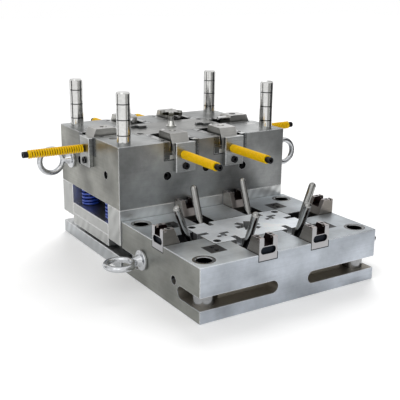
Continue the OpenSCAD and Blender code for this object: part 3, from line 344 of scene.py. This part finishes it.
insert_seat = [((-INSERT_L / 2, -INSERT_W / 2, 0.0), (INSERT_L / 2, INSERT_W / 2, FAR))]
pad_seat = [(PAD_LOW, PAD_HIGH)]
slider_ways = station_boxes(WAY_HALF, WAY_DEPTH, WAY_LOW_Z, FAR)
lock_seats = station_boxes(LOCK_HALF, LOCK_DEPTH, LOCK_LOW_Z, FAR)
lock_faces = station_boxes(FAR, LOCK_FACE_SKIN, 0.0, FAR)
lock_slots = station_boxes(LOCK_SLOT_HALF, FAR, LOCK_SLOT_LOW_Z, FAR)
lock_reliefs = station_boxes(RELIEF_HALF, RELIEF_DEPTH, RELIEF_LOW_Z, RELIEF_HIGH_Z, RELIEF_SKIN)
print("one of the slider ways, folded", slider_ways[0])

# %% [markdown]
# Aluminium alloy and tool steel look much alike when they are ground. What tells them apart here is
# the tint: the tool steel of the sliders and locking blocks is warmer. The plates of the low half
# are cool and painted pale as light on them, and those of the high half are painted a darker grey
# as shade. The cavity insert is lapped, its top is painted the palest as light on it, and it
# scatters more light than the plates do.

# %% Plates, inserts and blocks
BLOCK_EDGE_WIDTH = 1.2 * MM
SLOT_REACH = 0.2 * MM

# The high half's large plate is ground and then much handled, with slow haze. It is painted a
# middle grey, darker than the low half's plate, as shade, and its ends darker still.
ground_core = ground_metal(
    "ground_alloy_moving", ("9C9E9E", "979999", "8A8A84"), 0.36, haze=0.6, scratches=0.07,
    bump=0.06, edge="E9EBEC", middle=MOVING_MIDDLE, marks_and_painted_shade=[
        (insert_seat + slider_ways, SEAM_WIDTH, "2C2D2E"),
        # painted shade: the plate's pockets and bores are painted near black
        (plate_inside(CORE_LOW_Z, PARTING_Z), SHARP, "343536")])
# The low half's plate is ground finer and wiped clean, so its haze is fainter. It is cool, painted
# pale as light on it, with its top lighter and its ends darker, and it has a soft sheen.
ground_fixed = ground_metal(
    "ground_alloy_fixed", ("D0D6DB", "B6BCC4", "8C8D88"), 0.4, haze=0.42, scratches=0.05,
    bump=0.05, edge="F4F6F8", middle=FIXED_MIDDLE, marks_and_painted_shade=[
        (insert_seat + pad_seat + lock_seats, SEAM_WIDTH, "2C2D2E"),
        # painted shade: pockets and bores near black, and the low slots a lighter brown grey
        (plate_inside(FIXED_SLOT_TOP_Z, FIXED_Z), SHARP, "404143"),
        (plate_inside(FIXED_LOW_Z, FIXED_SLOT_TOP_Z), SHARP, "A39E95")])
# The core insert is ground among its ribs: darker than the plate around it, and blotchy.
ground_insert = ground_metal(
    "ground_insert", ("848482", "8A8B8B", "8A8B8B"), 0.3, haze=0.5, scratches=0.1, bump=0.08)
# The cavity insert is lapped by hand: its top is painted nearly white as light on it, its sides
# grey, and there is no direction in its sheen.
cavity_alloy = ground_metal(
    "lapped_cavity_insert", ("F2F7FC", "9A9B9C", "9A9B9C"), 0.46, haze=0.36, scratches=0.03,
    bump=0.03, metallic=0.7)
# Stop plates, pillars and rings are ground steel, with painted light: light tops, and sides a tone
# darker.
ground_steel = ground_metal("ground_steel", ("C6C7C6", "A2A4A4", "9C9D9B"), 0.30, haze=0.25)
# The gib rails are ground on top, and their flanks and ends are painted dark as shade: a grey strip
# between dark lines.
gib_steel = ground_metal("gib_rail_steel", ("A6A7A7", "545657", "545657"), 0.30, haze=0.3)
# The sliders are ground tool steel: warm, with sides painted lighter than the top as light, and a
# painted highlight in a thin bright line on every edge.
slider_steel = ground_metal(
    "slider_tool_steel", ("A9A8A6", "C4C3BF", "AEADA8"), 0.32, haze=0.4, edge="ECEBE8",
    edge_width=BLOCK_EDGE_WIDTH)
# The locking blocks are the same steel: warm, the top painted lighter as light, a painted highlight
# on the edges, a clean outer face, and dark red-brown inside the slot.
block_steel = ground_metal(
    "locking_block_steel", ("CDC5C6", "8E8983", "8E8983"), 0.32, haze=0.3, edge="E6E0DF",
    middle=FIXED_MIDDLE, edge_width=BLOCK_EDGE_WIDTH, marks_and_painted_shade=[
        (lock_faces, SHARP, "B9B8BA"),
        (lock_slots, SLOT_REACH, "241718"),
        (lock_reliefs, SHARP, "23262D")])
# The landing pads are hardened steel with the heat's scale left on: nearly black.
pad_steel = ground_metal(
    "landing_pad_steel", ("3E3E40", "343436", "343436"), 0.34, haze=0.2, edge="7A7A7C")
print(len(bpy.data.materials), "materials so far")

# %% [markdown]
# Milled plate. The spacers, the clamp plate and the ejector plates are paler and show the sweep of
# a large face mill: wide shallow arcs, one beside the other. A ring wave with its centre far
# outside the piece gives such arcs. The real ones lie a fraction of a millimetre apart, too fine
# for this picture, so they are drawn 18 mm apart. They are also drawn faint, since the real marks
# only show where light grazes them, and a slow noise wipes them out in patches.

# %% Milled metal
FEED = 18 * MM
RING_AT_SCALE_1 = 0.1 * math.pi  # metres from one ring of the wave to the next at scale 1
FROM_RING_CENTRE = (-0.9, 0.7, 0.35)  # the origin's place, in metres from the rings' centre
MARK_DEPTH = 0.08 * MM
MARK_DULLS = 0.12  # roughness
PATCH_SIZE = 62.5 * MM
PATCH_RANGE = (0.42, 0.62)
PATCH_DARKEST, PATCH_PALEST = 0.84, 1.06  # shares of the brightness


def milled_metal(name, colours, dark_share, roughness):
    """colours are those of top, side and end, with painted light. dark_share is how much darker
    the arcs are.
    """
    material, out = new_material(name)
    place = add(material, "ShaderNodeTexCoord").outputs["Object"]
    patch = add(material, "ShaderNodeTexNoise", {
        "Vector": place, "Scale": 1 / PATCH_SIZE, "Detail": 2.0}).outputs["Fac"]
    mapped = add(material, "ShaderNodeMapping", {
        0: place, "Location": FROM_RING_CENTRE}).outputs[0]
    arcs = add(material, "ShaderNodeTexWave", {
        "Vector": mapped, "Scale": RING_AT_SCALE_1 / FEED, "Distortion": 1.5, "Detail": 1.0,
        "Detail Scale": 0.4}, wave_type="RINGS", rings_direction="SPHERICAL").outputs["Fac"]
    patch_share = add(material, "ShaderNodeMapRange", {
        0: patch, 1: PATCH_RANGE[0], 2: PATCH_RANGE[1]}).outputs[0]
    marks = add(material, "ShaderNodeMath", {0: arcs, 1: patch_share},
                operation="MULTIPLY").outputs[0]
    face = painted_light_by_facing(material, *colours)
    value = add(material, "ShaderNodeMapRange", {0: marks, 3: 1.0, 4: 1 - dark_share}).outputs[0]
    slow = add(material, "ShaderNodeMapRange", {
        0: patch, 1: STAIN_RANGE[0], 2: STAIN_RANGE[1], 3: PATCH_DARKEST,
        4: PATCH_PALEST}).outputs[0]
    value = add(material, "ShaderNodeMath", {0: value, 1: slow}, operation="MULTIPLY").outputs[0]
    face = add(material, "ShaderNodeHueSaturation", {"Color": face, "Value": value}).outputs[0]
    # painted highlight: the edges are mixed towards near white, where a chamfer catches light
    edge_highlight = edge_mask(material, EDGE_WIDTH)
    face = add(material, "ShaderNodeMix", {0: edge_highlight, 6: face, 7: linear("F7F7F7")},
               data_type="RGBA").outputs[2]
    rough = add(material, "ShaderNodeMapRange", {
        0: marks, 3: roughness, 4: roughness + MARK_DULLS}).outputs[0]
    normal = add(material, "ShaderNodeBump", {
        "Height": marks, "Strength": 0.15, "Distance": MARK_DEPTH}).outputs[0]
    shader = add(material, "ShaderNodeBsdfPrincipled", {
        "Base Color": face, "Metallic": 1.0, "Roughness": rough, "Normal": normal})
    material.node_tree.links.new(shader.outputs[0], out.inputs[0])
    return material


# The spacers and ejector plates are freshly milled: pale, with arcs that show a little, and ends
# painted darker as shade.
milled_pale = milled_metal("milled_alloy_pale", ("CFD0D0", "DDDFDF", "AEAFAD"), 0.22, 0.36)
# The clamp plate has lain on many machine tables: a tone darker, and its arcs are worn.
milled_clamp = milled_metal("milled_clamp_plate", ("C4C6C7", "B4B7B9", "B6B9BB"), 0.14, 0.36)
print("the cutter's marks are", FEED / MM, "mm apart")

# %% [markdown]
# Polished, plated, painted and blackened metal. These are plainer than the plates, so one function
# covers them: a colour, a faint cloud of handling marks in shade and roughness, and for paint a
# surface that isn't metal, glossy with a thin clear coat on the blue springs and duller on the
# yellow ones. A turned piece may have a second colour. On a guide pin it is the oil in the grooves,
# which is every point nearer to the pin's axis than its skin. On a bush it is the bore, painted
# dark as shade, and on the centre post it is the cap.

# %% Where a turned piece changes its colour
GUIDE_AXIS = Vector((216 * MM, 142 * MM, 0))
PIN_SHAFT_TOP = PARTING_Z + 120 * MM
GROOVE_STARTS, GROOVE_FULL = 17.4 * MM, 17.1 * MM  # distances from the pin's axis
BORE_STARTS, BORE_FULL = 18.0 * MM, 17.7 * MM  # distances from the bush's axis
CAP_STARTS, CAP_FULL = PARTING_Z + 31.5 * MM, PARTING_Z + 32.2 * MM  # heights


def axis_distance(material, middle):
    """Distance of a point from the axis of the guide pin or bush in its quarter."""
    quarter = folded_place(material, middle)
    away = add(material, "ShaderNodeVectorMath", {0: quarter, 1: GUIDE_AXIS},
               operation="SUBTRACT").outputs[0]
    level = add(material, "ShaderNodeVectorMath", {0: away, 1: (1, 1, 0)},
                operation="MULTIPLY").outputs[0]
    return add(material, "ShaderNodeVectorMath", {0: level}, operation="LENGTH").outputs["Value"]


def height(material, middle):
    """Height of a point above the floor."""
    return add(material, "ShaderNodeSeparateXYZ", {0: folded_place(material, middle)}).outputs[2]


def shaft_distance(material, middle):
    """The axis distance, with 1 m added above the shaft, so that the pin's tapered tip stays
    polished."""
    above = add(material, "ShaderNodeMath", {0: height(material, middle), 1: PIN_SHAFT_TOP},
                operation="GREATER_THAN").outputs[0]
    return add(material, "ShaderNodeMath", {0: axis_distance(material, middle), 1: above},
               operation="ADD").outputs[0]


print("a guide pin's shaft ends at", round(PIN_SHAFT_TOP / MM), "mm")

# %% Smooth finishes
MARK_SIZE = 7 * MM
HANDLED_SHADE = 0.86
COAT_ROUGHNESS = 0.12
FINE_EDGE_WIDTH = 0.7 * MM


def smooth_finish(name, colour, roughness, metallic=1.0, coat=0.0, marks=0.06, edge_colour=None,
                  second=None, gloss=0.5):
    """gloss below 0.5 dulls a surface that isn't metal. second is (function, middle, value where it
    starts, value where it is full, colour)."""
    material, out = new_material(name)
    place = add(material, "ShaderNodeTexCoord").outputs["Object"]
    cloud = add(material, "ShaderNodeTexNoise", {
        "Vector": place, "Scale": 1 / MARK_SIZE, "Detail": 4.0, "Roughness": 0.65}).outputs["Fac"]
    share = add(material, "ShaderNodeMapRange", {
        0: cloud, 1: SCRATCH_RANGE[0], 2: SCRATCH_RANGE[1]}).outputs[0]
    rough = add(material, "ShaderNodeMapRange", {
        0: share, 3: roughness - marks / 2, 4: roughness + marks}).outputs[0]
    shade = [channel * HANDLED_SHADE for channel in linear(colour)[:3]] + [1.0]
    face = add(material, "ShaderNodeMix", {0: share, 6: linear(colour), 7: shade},
               data_type="RGBA").outputs[2]
    if edge_colour:
        face = add(material, "ShaderNodeMix", {
            0: edge_mask(material, FINE_EDGE_WIDTH), 6: face, 7: linear(edge_colour)},
            data_type="RGBA").outputs[2]
    if second:
        measure, middle, start, full, other = second
        part = add(material, "ShaderNodeMapRange", {
            0: measure(material, middle), 1: start, 2: full})
        face = add(material, "ShaderNodeMix", {0: part.outputs[0], 6: face, 7: linear(other)},
                   data_type="RGBA").outputs[2]
    shader = add(material, "ShaderNodeBsdfPrincipled", {
        "Base Color": face, "Metallic": metallic, "Roughness": rough, "Coat Weight": coat,
        "Coat Roughness": COAT_ROUGHNESS, "Specular IOR Level": gloss})
    material.node_tree.links.new(shader.outputs[0], out.inputs[0])
    return material


# Pins, bushes, side cores and the post are hardened steel, ground and polished: they mirror the
# studio in long streaks. The angle pins are the same steel in a darker grey, and the return and
# ejector pins have gone dull in their bores.
polished = smooth_finish("polished_steel", "D8D8D8", 0.12)
guide_pin_steel = smooth_finish("polished_guide_pin", "D2D2D0", 0.11, second=(
    shaft_distance, MOVING_MIDDLE, GROOVE_STARTS, GROOVE_FULL, "26262A"))
# painted shade: the bore is painted dark, as shade inside the hole
bush_steel = smooth_finish("bush_steel", "9A9B9C", 0.17, second=(
    axis_distance, FIXED_MIDDLE, BORE_STARTS, BORE_FULL, "4A4946"))
post_steel = smooth_finish("centre_post_steel", "DCDCD8", 0.12, second=(
    height, MOVING_MIDDLE, CAP_STARTS, CAP_FULL, "6E6D64"))
pin_steel = smooth_finish("hardened_pin_steel", "9A9A98", 0.11)
worn_pin_steel = smooth_finish("worn_pin_steel", "6C6C6A", 0.24)
# Bright zinc plating on the rough skin of a forging: shiny, but never a clear mirror.
zinc = smooth_finish("bright_zinc", "C8CACD", 0.19, marks=0.14)
# Black oxide on screws and bolts: dark and matt, rubbed to bare steel along the edges.
black_oxide = smooth_finish("black_oxide_steel", "2E2E30", 0.42, edge_colour="6A6A6C")
# Spring paint is dipped and baked, in a colour that tells the spring's strength.
yellow_paint = smooth_finish(
    "yellow_spring_paint", "FFD000", 0.3, metallic=0.0, marks=0.04, gloss=0.2)
blue_paint = smooth_finish(
    "blue_spring_paint", "2148B4", 0.36, metallic=0.0, coat=0.3, marks=0.04)
print(len(bpy.data.materials), "materials in all")

# %% [markdown]
# Each CAD node gets its finish by name. A slot of the record tells what the piece is made of, and a
# few pieces that share a slot still look different in the photograph, such as the two large plates,
# so they are named one by one.

# %% Finish of every node
BY_SLOT = {
    "alloy_ground": ground_core, "alloy_pale": milled_pale, "alloy_insert": ground_insert,
    "steel_ground": ground_steel, "steel_polished": polished, "steel_pin": pin_steel,
    "steel_tool": slider_steel, "steel_dark": black_oxide, "zinc_bright": zinc,
    "spring_yellow": yellow_paint, "spring_blue": blue_paint}
BY_NODE = {
    "fixed_plate": ground_fixed, "clamp_plate": milled_clamp, "gib_rails": gib_steel,
    "locking_blocks": block_steel, "cavity_insert": cavity_alloy, "landing_pads": pad_steel,
    "guide_pins": guide_pin_steel, "guide_bushes": bush_steel, "centre_post": post_steel,
    "return_pins": worn_pin_steel, "ejector_pins": worn_pin_steel}

slot_of = {part["node"]: part["material_slot"] for part in frame["record"]["subparts"]}
for name, piece in frame["nodes"].items():
    piece.data.materials.clear()
    piece.data.materials.append(BY_NODE.get(name, BY_SLOT[slot_of[name]]))
print(len(slot_of), "nodes have a finish")

# %% [markdown]
# The coil springs are die springs: a flattened wire with rounded edges, wound close, with the first
# and last turn lying flat. The frame's own springs have eight or ten sides to a turn, and sharp
# edges. Here one wire section is drawn and the Screw modifier winds it, and the end turns are then
# drawn together by moving the rings of the mesh along the axis. A spring is wound once and copied.

# %% Spring maker
CLOSED_GAP = 0.15 * MM
CORNER_SHARE = 0.24
SMOOTH_BELOW = math.radians(50)


def deselect_all():
    """Leaves edit mode and drops the selection, so that the next operator acts on its own piece."""
    if bpy.context.object and bpy.context.object.mode != "OBJECT":
        bpy.ops.object.mode_set(mode="OBJECT")
    bpy.ops.object.select_all(action="DESELECT")


def wire_height(turn, turns, length, wire_h):
    """Height of the wire's centre after so many turns. The end turns are closed."""
    closed = wire_h + CLOSED_GAP
    pitch = (length - wire_h - 2 * closed) / (turns - 2)
    rise = min(turn, 1) * closed + min(max(turn - 1, 0), turns - 2) * pitch
    return wire_h / 2 + rise + max(turn - turns + 1, 0) * closed


def wind_spring(name, outer_d, length, wire_w, wire_h, turns, steps):
    """A spring standing on the origin along Z."""
    deselect_all()
    middle = outer_d / 2 - wire_w / 2
    bpy.ops.mesh.primitive_plane_add(size=1, location=(middle, 0, 0), rotation=(math.pi / 2, 0, 0))
    spring = bpy.context.object
    spring.name = name
    spring.scale = (wire_w, wire_h, 1)
    bpy.ops.object.transform_apply(location=True, rotation=True, scale=True)
    bpy.ops.object.mode_set(mode="EDIT")
    bpy.ops.mesh.select_all(action="SELECT")
    bpy.ops.mesh.bevel(offset=wire_h * CORNER_SHARE, segments=2, affect="VERTICES")
    bpy.ops.mesh.delete(type="ONLY_FACE")
    bpy.ops.object.mode_set(mode="OBJECT")
    corners = len(spring.data.vertices)
    screw = spring.modifiers.new("winding", "SCREW")
    screw.angle = 2 * math.pi * turns
    screw.screw_offset = length
    screw.steps = screw.render_steps = turns * steps
    screw.use_smooth_shade = True
    bpy.ops.object.modifier_apply(modifier="winding")
    rings = len(spring.data.vertices) // corners
    for number, vertex in enumerate(spring.data.vertices):
        ring = number // corners
        straight = ring * length / (rings - 1)
        vertex.co.z += wire_height(ring / steps, turns, length, wire_h) - straight
    bpy.ops.object.mode_set(mode="EDIT")
    bpy.ops.mesh.select_all(action="DESELECT")
    bpy.ops.mesh.select_non_manifold()
    bpy.ops.mesh.edge_face_add()
    bpy.ops.mesh.select_all(action="SELECT")
    bpy.ops.mesh.normals_make_consistent(inside=False)
    bpy.ops.object.mode_set(mode="OBJECT")
    bpy.ops.object.shade_smooth_by_angle(angle=SMOOTH_BELOW)
    print(name, len(spring.data.vertices), "vertices,", rings, "rings")
    return spring


def placed_copy(piece, name, matrix):
    """A copy with its own mesh, its place moved into the mesh."""
    twin = piece.copy()
    twin.data = piece.data.copy()
    twin.name = name
    bpy.context.scene.collection.objects.link(twin)
    twin.data.transform(matrix)
    twin.matrix_world = Matrix.Identity(4)
    return twin


# %% [markdown]
# Each slider has a yellow spring on its stroke bolt, between the stop plate and the bolt's head.
# Each coil is wound to the length of the frame's spring and set in its place with its axis
# pointing outwards from the mould, and the frame's spring is hidden.

# %% Slider springs
SLIDER_SPRING = dict(outer_d=22 * MM, wire_w=4.6 * MM, wire_h=4.2 * MM, turns=23, steps=20)
OUTWARDS = {"front_left": (0, -1), "front_right": (0, -1), "back_left": (0, 1),
            "back_right": (0, 1), "left": (-1, 0), "right": (1, 0)}
low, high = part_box("slider_spring_front_left")
slider_spring_l = high.y - low.y
slider_spring = wind_spring("slider_spring_pattern", length=slider_spring_l, **SLIDER_SPRING)
slider_spring.data.materials.append(yellow_paint)
for station, direction in OUTWARDS.items():
    low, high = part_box("slider_spring_" + station)
    out = Vector((*direction, 0))
    seat = (low + high) / 2 - out * slider_spring_l / 2
    matrix = Matrix.Translation(seat) @ out.to_track_quat("Z", "X").to_matrix().to_4x4()
    coil = placed_copy(slider_spring, "coil_" + station, matrix)
    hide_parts("slider_spring_" + station)
    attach(coil, "mould_halves")
    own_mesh(coil)
bpy.data.objects.remove(slider_spring)
print("slider springs", round(slider_spring_l / MM, 1), "mm long")

# %% [markdown]
# Four blue springs push the ejector back. They are wider and heavier in the wire, stand on the
# ejector plates and press against the core plate above. One CAD node holds all four; it is hidden,
# and four coils stand in the corners of its box.

# %% Return springs
RETURN_SPRING = dict(outer_d=50 * MM, wire_w=10.5 * MM, wire_h=5.2 * MM, turns=10, steps=36)
low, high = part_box("return_springs")
return_spring_l = high.z - low.z
radius = RETURN_SPRING["outer_d"] / 2
return_spring = wind_spring("return_spring_pattern", length=return_spring_l, **RETURN_SPRING)
return_spring.data.materials.append(blue_paint)
return_coils = []
for x in (low.x + radius, high.x - radius):
    for y in (low.y + radius, high.y - radius):
        name = f"return_coil_{len(return_coils) + 1}"
        coil = placed_copy(return_spring, name, Matrix.Translation((x, y, low.z)))
        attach(coil, "mould_halves")
        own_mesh(coil)
        return_coils.append(coil)
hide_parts("return_springs")
bpy.data.objects.remove(return_spring)
print(len(return_coils), "return springs", round(return_spring_l / MM, 1), "mm long")

# %% [markdown]
# The eyebolts are drop forgings. Their ring grows out of the collar without a corner anywhere, so a
# torus, a cone and a cylinder are put together, turned into one skin by a voxel remesh and
# smoothed.

# %% Ring, neck and collar of an eyebolt
RING_D = 80 * MM
RING_T = 15 * MM
RING_REACH = 60 * MM
COLLAR_D = 50 * MM
COLLAR_H = 8 * MM
RING_R = (RING_D - RING_T) / 2
NECK_ROOT_R = COLLAR_D * 0.36
NECK_TIP_R = RING_T * 0.55
NECK_L = RING_REACH - RING_R
VOXEL = 1.1 * MM
SMOOTH_ROUNDS = 24


def forge_eyebolt():
    """An eyebolt along Z with its ring in the XZ plane and its collar's face on z = 0."""
    deselect_all()
    bpy.ops.mesh.primitive_torus_add(
        major_radius=RING_R, minor_radius=RING_T / 2, major_segments=64, minor_segments=24,
        location=(0, 0, RING_REACH), rotation=(math.pi / 2, 0, 0))
    ring = bpy.context.object
    bpy.ops.mesh.primitive_cone_add(
        vertices=64, radius1=NECK_ROOT_R, radius2=NECK_TIP_R, depth=NECK_L,
        location=(0, 0, NECK_L / 2))
    neck = bpy.context.object
    bpy.ops.mesh.primitive_cylinder_add(vertices=96, radius=COLLAR_D / 2, depth=COLLAR_H,
                                        location=(0, 0, COLLAR_H / 2))
    collar = bpy.context.object
    for piece in (ring, neck, collar):
        piece.select_set(True)
    bpy.context.view_layer.objects.active = ring
    bpy.ops.object.join()
    bpy.ops.object.transform_apply(location=True, rotation=True, scale=True)
    remesh = ring.modifiers.new("skin", "REMESH")
    remesh.mode = "VOXEL"
    remesh.voxel_size = VOXEL
    bpy.ops.object.modifier_apply(modifier="skin")
    smooth = ring.modifiers.new("forged", "CORRECTIVE_SMOOTH")
    smooth.iterations = SMOOTH_ROUNDS
    smooth.smooth_type = "LENGTH_WEIGHTED"
    smooth.use_only_smooth = True
    bpy.ops.object.modifier_apply(modifier="forged")
    bpy.ops.object.shade_smooth()
    for vertex in ring.data.vertices:
        vertex.co.z = max(vertex.co.z, 0)
    return ring


eyebolt = forge_eyebolt()
print("eyebolt without its shank", len(eyebolt.data.polygons), "faces")

# %% [markdown]
# The shank goes into the plate, where nobody sees its thread. It is a plain cylinder at the
# thread's core diameter with rounded ends, as the frame's own is.

# %% Shank of an eyebolt
SHANK_D = 21 * MM
SHANK_L = 33 * MM
SHANK_ROUNDING = 1 * MM


def turn_shank():
    """The shank, hanging down from z = 0."""
    deselect_all()
    bpy.ops.mesh.primitive_cylinder_add(vertices=48, radius=SHANK_D / 2, depth=SHANK_L,
                                        location=(0, 0, -SHANK_L / 2))
    shank = bpy.context.object
    bpy.ops.object.transform_apply(location=True, rotation=True, scale=True)
    bpy.ops.object.mode_set(mode="EDIT")
    bpy.ops.mesh.select_all(action="SELECT")
    bpy.ops.mesh.bevel(offset=SHANK_ROUNDING, segments=2)
    bpy.ops.object.mode_set(mode="OBJECT")
    bpy.ops.object.shade_smooth_by_angle(angle=math.radians(35))
    return shank


shank = turn_shank()
deselect_all()
for piece in (shank, eyebolt):
    piece.select_set(True)
bpy.context.view_layer.objects.active = eyebolt
bpy.ops.object.join()
eyebolt.data.materials.clear()
eyebolt.data.materials.append(zinc)
print("eyebolt", len(eyebolt.data.polygons), "faces")

# %% [markdown]
# Each half is lifted by two eyebolts, one in each end, in opposite corners. On the high half their
# rings stand upright, and on the low half they lie flat, as in the photograph.

# %% Eyebolts in their places
MOVING_LIFT_Y, MOVING_LIFT_Z = 106 * MM, 229 * MM
FIXED_LIFT_Y, FIXED_LIFT_Z = 72 * MM, 64 * MM


def place_eyebolts(node, spots, upright):
    """Two eyebolts for one node, at the ends of a plate, looking outwards."""
    for number, (x, y, z) in enumerate(spots):
        out = Matrix.Rotation(math.copysign(math.pi / 2, number - 0.5), 4, "Y")
        turn = Matrix.Identity(4) if upright else Matrix.Rotation(math.pi / 2, 4, "Z")
        side = "right" if number else "left"
        at = Matrix.Translation((x, y, z))
        bolt = placed_copy(eyebolt, f"{node[:-1]}_{side}", at @ out @ turn)
        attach(bolt, "mould_halves")
    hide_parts(node)


def plate_ends(plate, lift_y, lift_z):
    """The two places of the eyebolts on a plate: one on each end, in opposite corners."""
    low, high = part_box(plate)
    middle = (low.y + high.y) / 2
    return [(low.x, middle + lift_y, lift_z), (high.x, middle - lift_y, lift_z)]


moving_spots = plate_ends("core_plate", MOVING_LIFT_Y, MOVING_LIFT_Z)
fixed_spots = plate_ends("fixed_plate", FIXED_LIFT_Y, FIXED_LIFT_Z)
place_eyebolts("moving_eyebolts", moving_spots, upright=True)
place_eyebolts("fixed_eyebolts", fixed_spots, upright=False)
bpy.data.objects.remove(eyebolt)
print("eyebolts at", moving_spots + fixed_spots)

# %% [markdown]
# The studio is plain: a pale floor, an even pale world and soft light. Metal shows what stands
# around it, so the world's brightness is what most of the faces show. The floor is white paper, and
# it keeps the soft contact shadow. It glows a little where the camera or a reflection sees it, so
# that it runs into the white world without a seam, and that glow lights nothing.

# %% Floor
FLOOR_HALF = 12.0
FLOOR_Z = -0.5 * MM
FLOOR_GLOW = 0.22
PAPER_ROUGHNESS = 0.9


def seen_directly(material):
    """1 on a ray from the camera, a reflection or glass, and 0 on one that only brings light."""
    path = add(material, "ShaderNodeLightPath").outputs
    seen = add(material, "ShaderNodeMath", {
        0: path["Is Camera Ray"], 1: path["Is Glossy Ray"]}, operation="MAXIMUM").outputs[0]
    return add(material, "ShaderNodeMath", {
        0: seen, 1: path["Is Transmission Ray"]}, operation="MAXIMUM").outputs[0]


deselect_all()
bpy.ops.mesh.primitive_plane_add(size=2 * FLOOR_HALF, location=(0, 0, FLOOR_Z))
floor = bpy.context.object
floor.name = "floor"
paper, out = new_material("white_paper")
glow = add(paper, "ShaderNodeMath", {0: seen_directly(paper), 1: FLOOR_GLOW},
           operation="MULTIPLY").outputs[0]
matt = add(paper, "ShaderNodeBsdfPrincipled", {
    "Base Color": linear("F4F4F4"), "Roughness": PAPER_ROUGHNESS,
    "Emission Color": linear("FFFFFF"), "Emission Strength": glow})
paper.node_tree.links.new(matt.outputs[0], out.inputs[0])
floor.data.materials.append(paper)
print("the floor is", 2 * FLOOR_HALF, "m wide")

# %% [markdown]
# Cards stand out of view around the mould, as a photographer of metal puts them.
# Polished pins show the dark ones as streaks and read as round. A dark one lies on the floor for
# the undersides on the right. The front card is grey, and tones down the long front face. The far
# one is pale, and keeps the right end of the low plate's top from fading into the background. Only
# reflections see the cards, and they throw no shadow.

# %% Cards
# name: place in metres, width and height in metres, turn in degrees, colour
CARDS = {
    "card_right": ((1.02, -0.52, 0.45), (1.1, 0.9), (90, 0, 66), "4A4A4C"),
    "card_front": ((0.40, -1.22, 0.45), (0.8, 0.9), (90, 0, 0), "ACACAA"),
    "card_left": ((-0.95, 0.36, 0.45), (0.3, 0.9), (90, 0, 73), "2A2A2C"),
    "card_back": ((-0.2, 1.55, 0.45), (0.4, 0.9), (90, 0, 0), "2A2A2C"),
    "card_far": ((1.22, 0.66, 0.56), (0.62, 0.7), (90, 0, 138), "D0D0D0"),
    "card_on_floor": ((1.2, -0.35, 0.001), (0.9, 1.1), (0, 0, 0), "3A3A3C")}

for name, (at, size, turn, colour) in CARDS.items():
    card_paper, out = new_material(name + "_paper")
    dull = add(card_paper, "ShaderNodeBsdfPrincipled", {
        "Base Color": linear(colour), "Roughness": PAPER_ROUGHNESS})
    card_paper.node_tree.links.new(dull.outputs[0], out.inputs[0])
    bpy.ops.mesh.primitive_plane_add(
        size=1, location=at, rotation=[math.radians(angle) for angle in turn])
    card = bpy.context.object
    card.name = name
    card.scale = (*size, 1)
    bpy.ops.object.transform_apply(location=True, rotation=True, scale=True)
    card.data.materials.append(card_paper)
    card.visible_camera = False
    card.visible_diffuse = False
    card.visible_shadow = False
print(len(CARDS), "cards")

# %% [markdown]
# The world is white where the camera, a reflection or a ray through glass sees it, and weaker as a
# light, so that the floor under the mould still gets its shadow.

# %% World
WORLD_LIGHT = 0.6

world = bpy.context.scene.world or bpy.data.worlds.new("studio")
bpy.context.scene.world = world
world.use_nodes = True
world.node_tree.nodes.clear()
strength = add(world, "ShaderNodeMapRange", {
    0: seen_directly(world), 3: WORLD_LIGHT, 4: 1.0}).outputs[0]
sky = add(world, "ShaderNodeBackground", {
    "Color": linear("FFFFFF"), "Strength": strength}).outputs[0]
add(world, "ShaderNodeOutputWorld", {"Surface": sky})
print("the world's light is", WORLD_LIGHT, "of its brightness")

# %% [markdown]
# The key is a sun with a wide disc, high behind the mould on the right. Its disc is wide enough to
# blur every shadow edge, as a large softbox does, and reflections don't see it, so it lights the
# floor and the painted springs and burns no spot into the metal. Two weak area lamps fill in: one
# over the camera's left shoulder, and one behind on the right that gives the plates' tops their
# sheen.

# %% Lamps
# name: place in metres, width in metres, power in watts
LAMPS = {
    "fill_lamp": ((-1.6, -1.4, 1.8), 2.0, 10.0),
    "back_lamp": ((2.0, 1.6, 1.0), 1.2, 3.5)}
AIM = Vector((0, -0.15, 0.15))
KEY_FROM = (1.3, 1.5, 2.0)
KEY_POWER = 1.7
KEY_DISC = math.radians(34)


def aim(lamp, at):
    """Turns a lamp towards the mould and hides it from the camera."""
    lamp.rotation_euler = (AIM - Vector(at)).to_track_quat("-Z", "Y").to_euler()
    lamp.visible_camera = False


for name, (at, size, power) in LAMPS.items():
    bpy.ops.object.light_add(type="AREA", location=at)
    lamp = bpy.context.object
    lamp.name = name
    lamp.data.size = size
    lamp.data.energy = power
    aim(lamp, at)

bpy.ops.object.light_add(type="SUN", location=KEY_FROM)
key = bpy.context.object
key.name = "key_light"
key.data.energy = KEY_POWER
key.data.angle = KEY_DISC
aim(key, KEY_FROM)
key.visible_glossy = False

bpy.context.scene.view_settings.view_transform = "Standard"
print(len(LAMPS) + 1, "lamps")
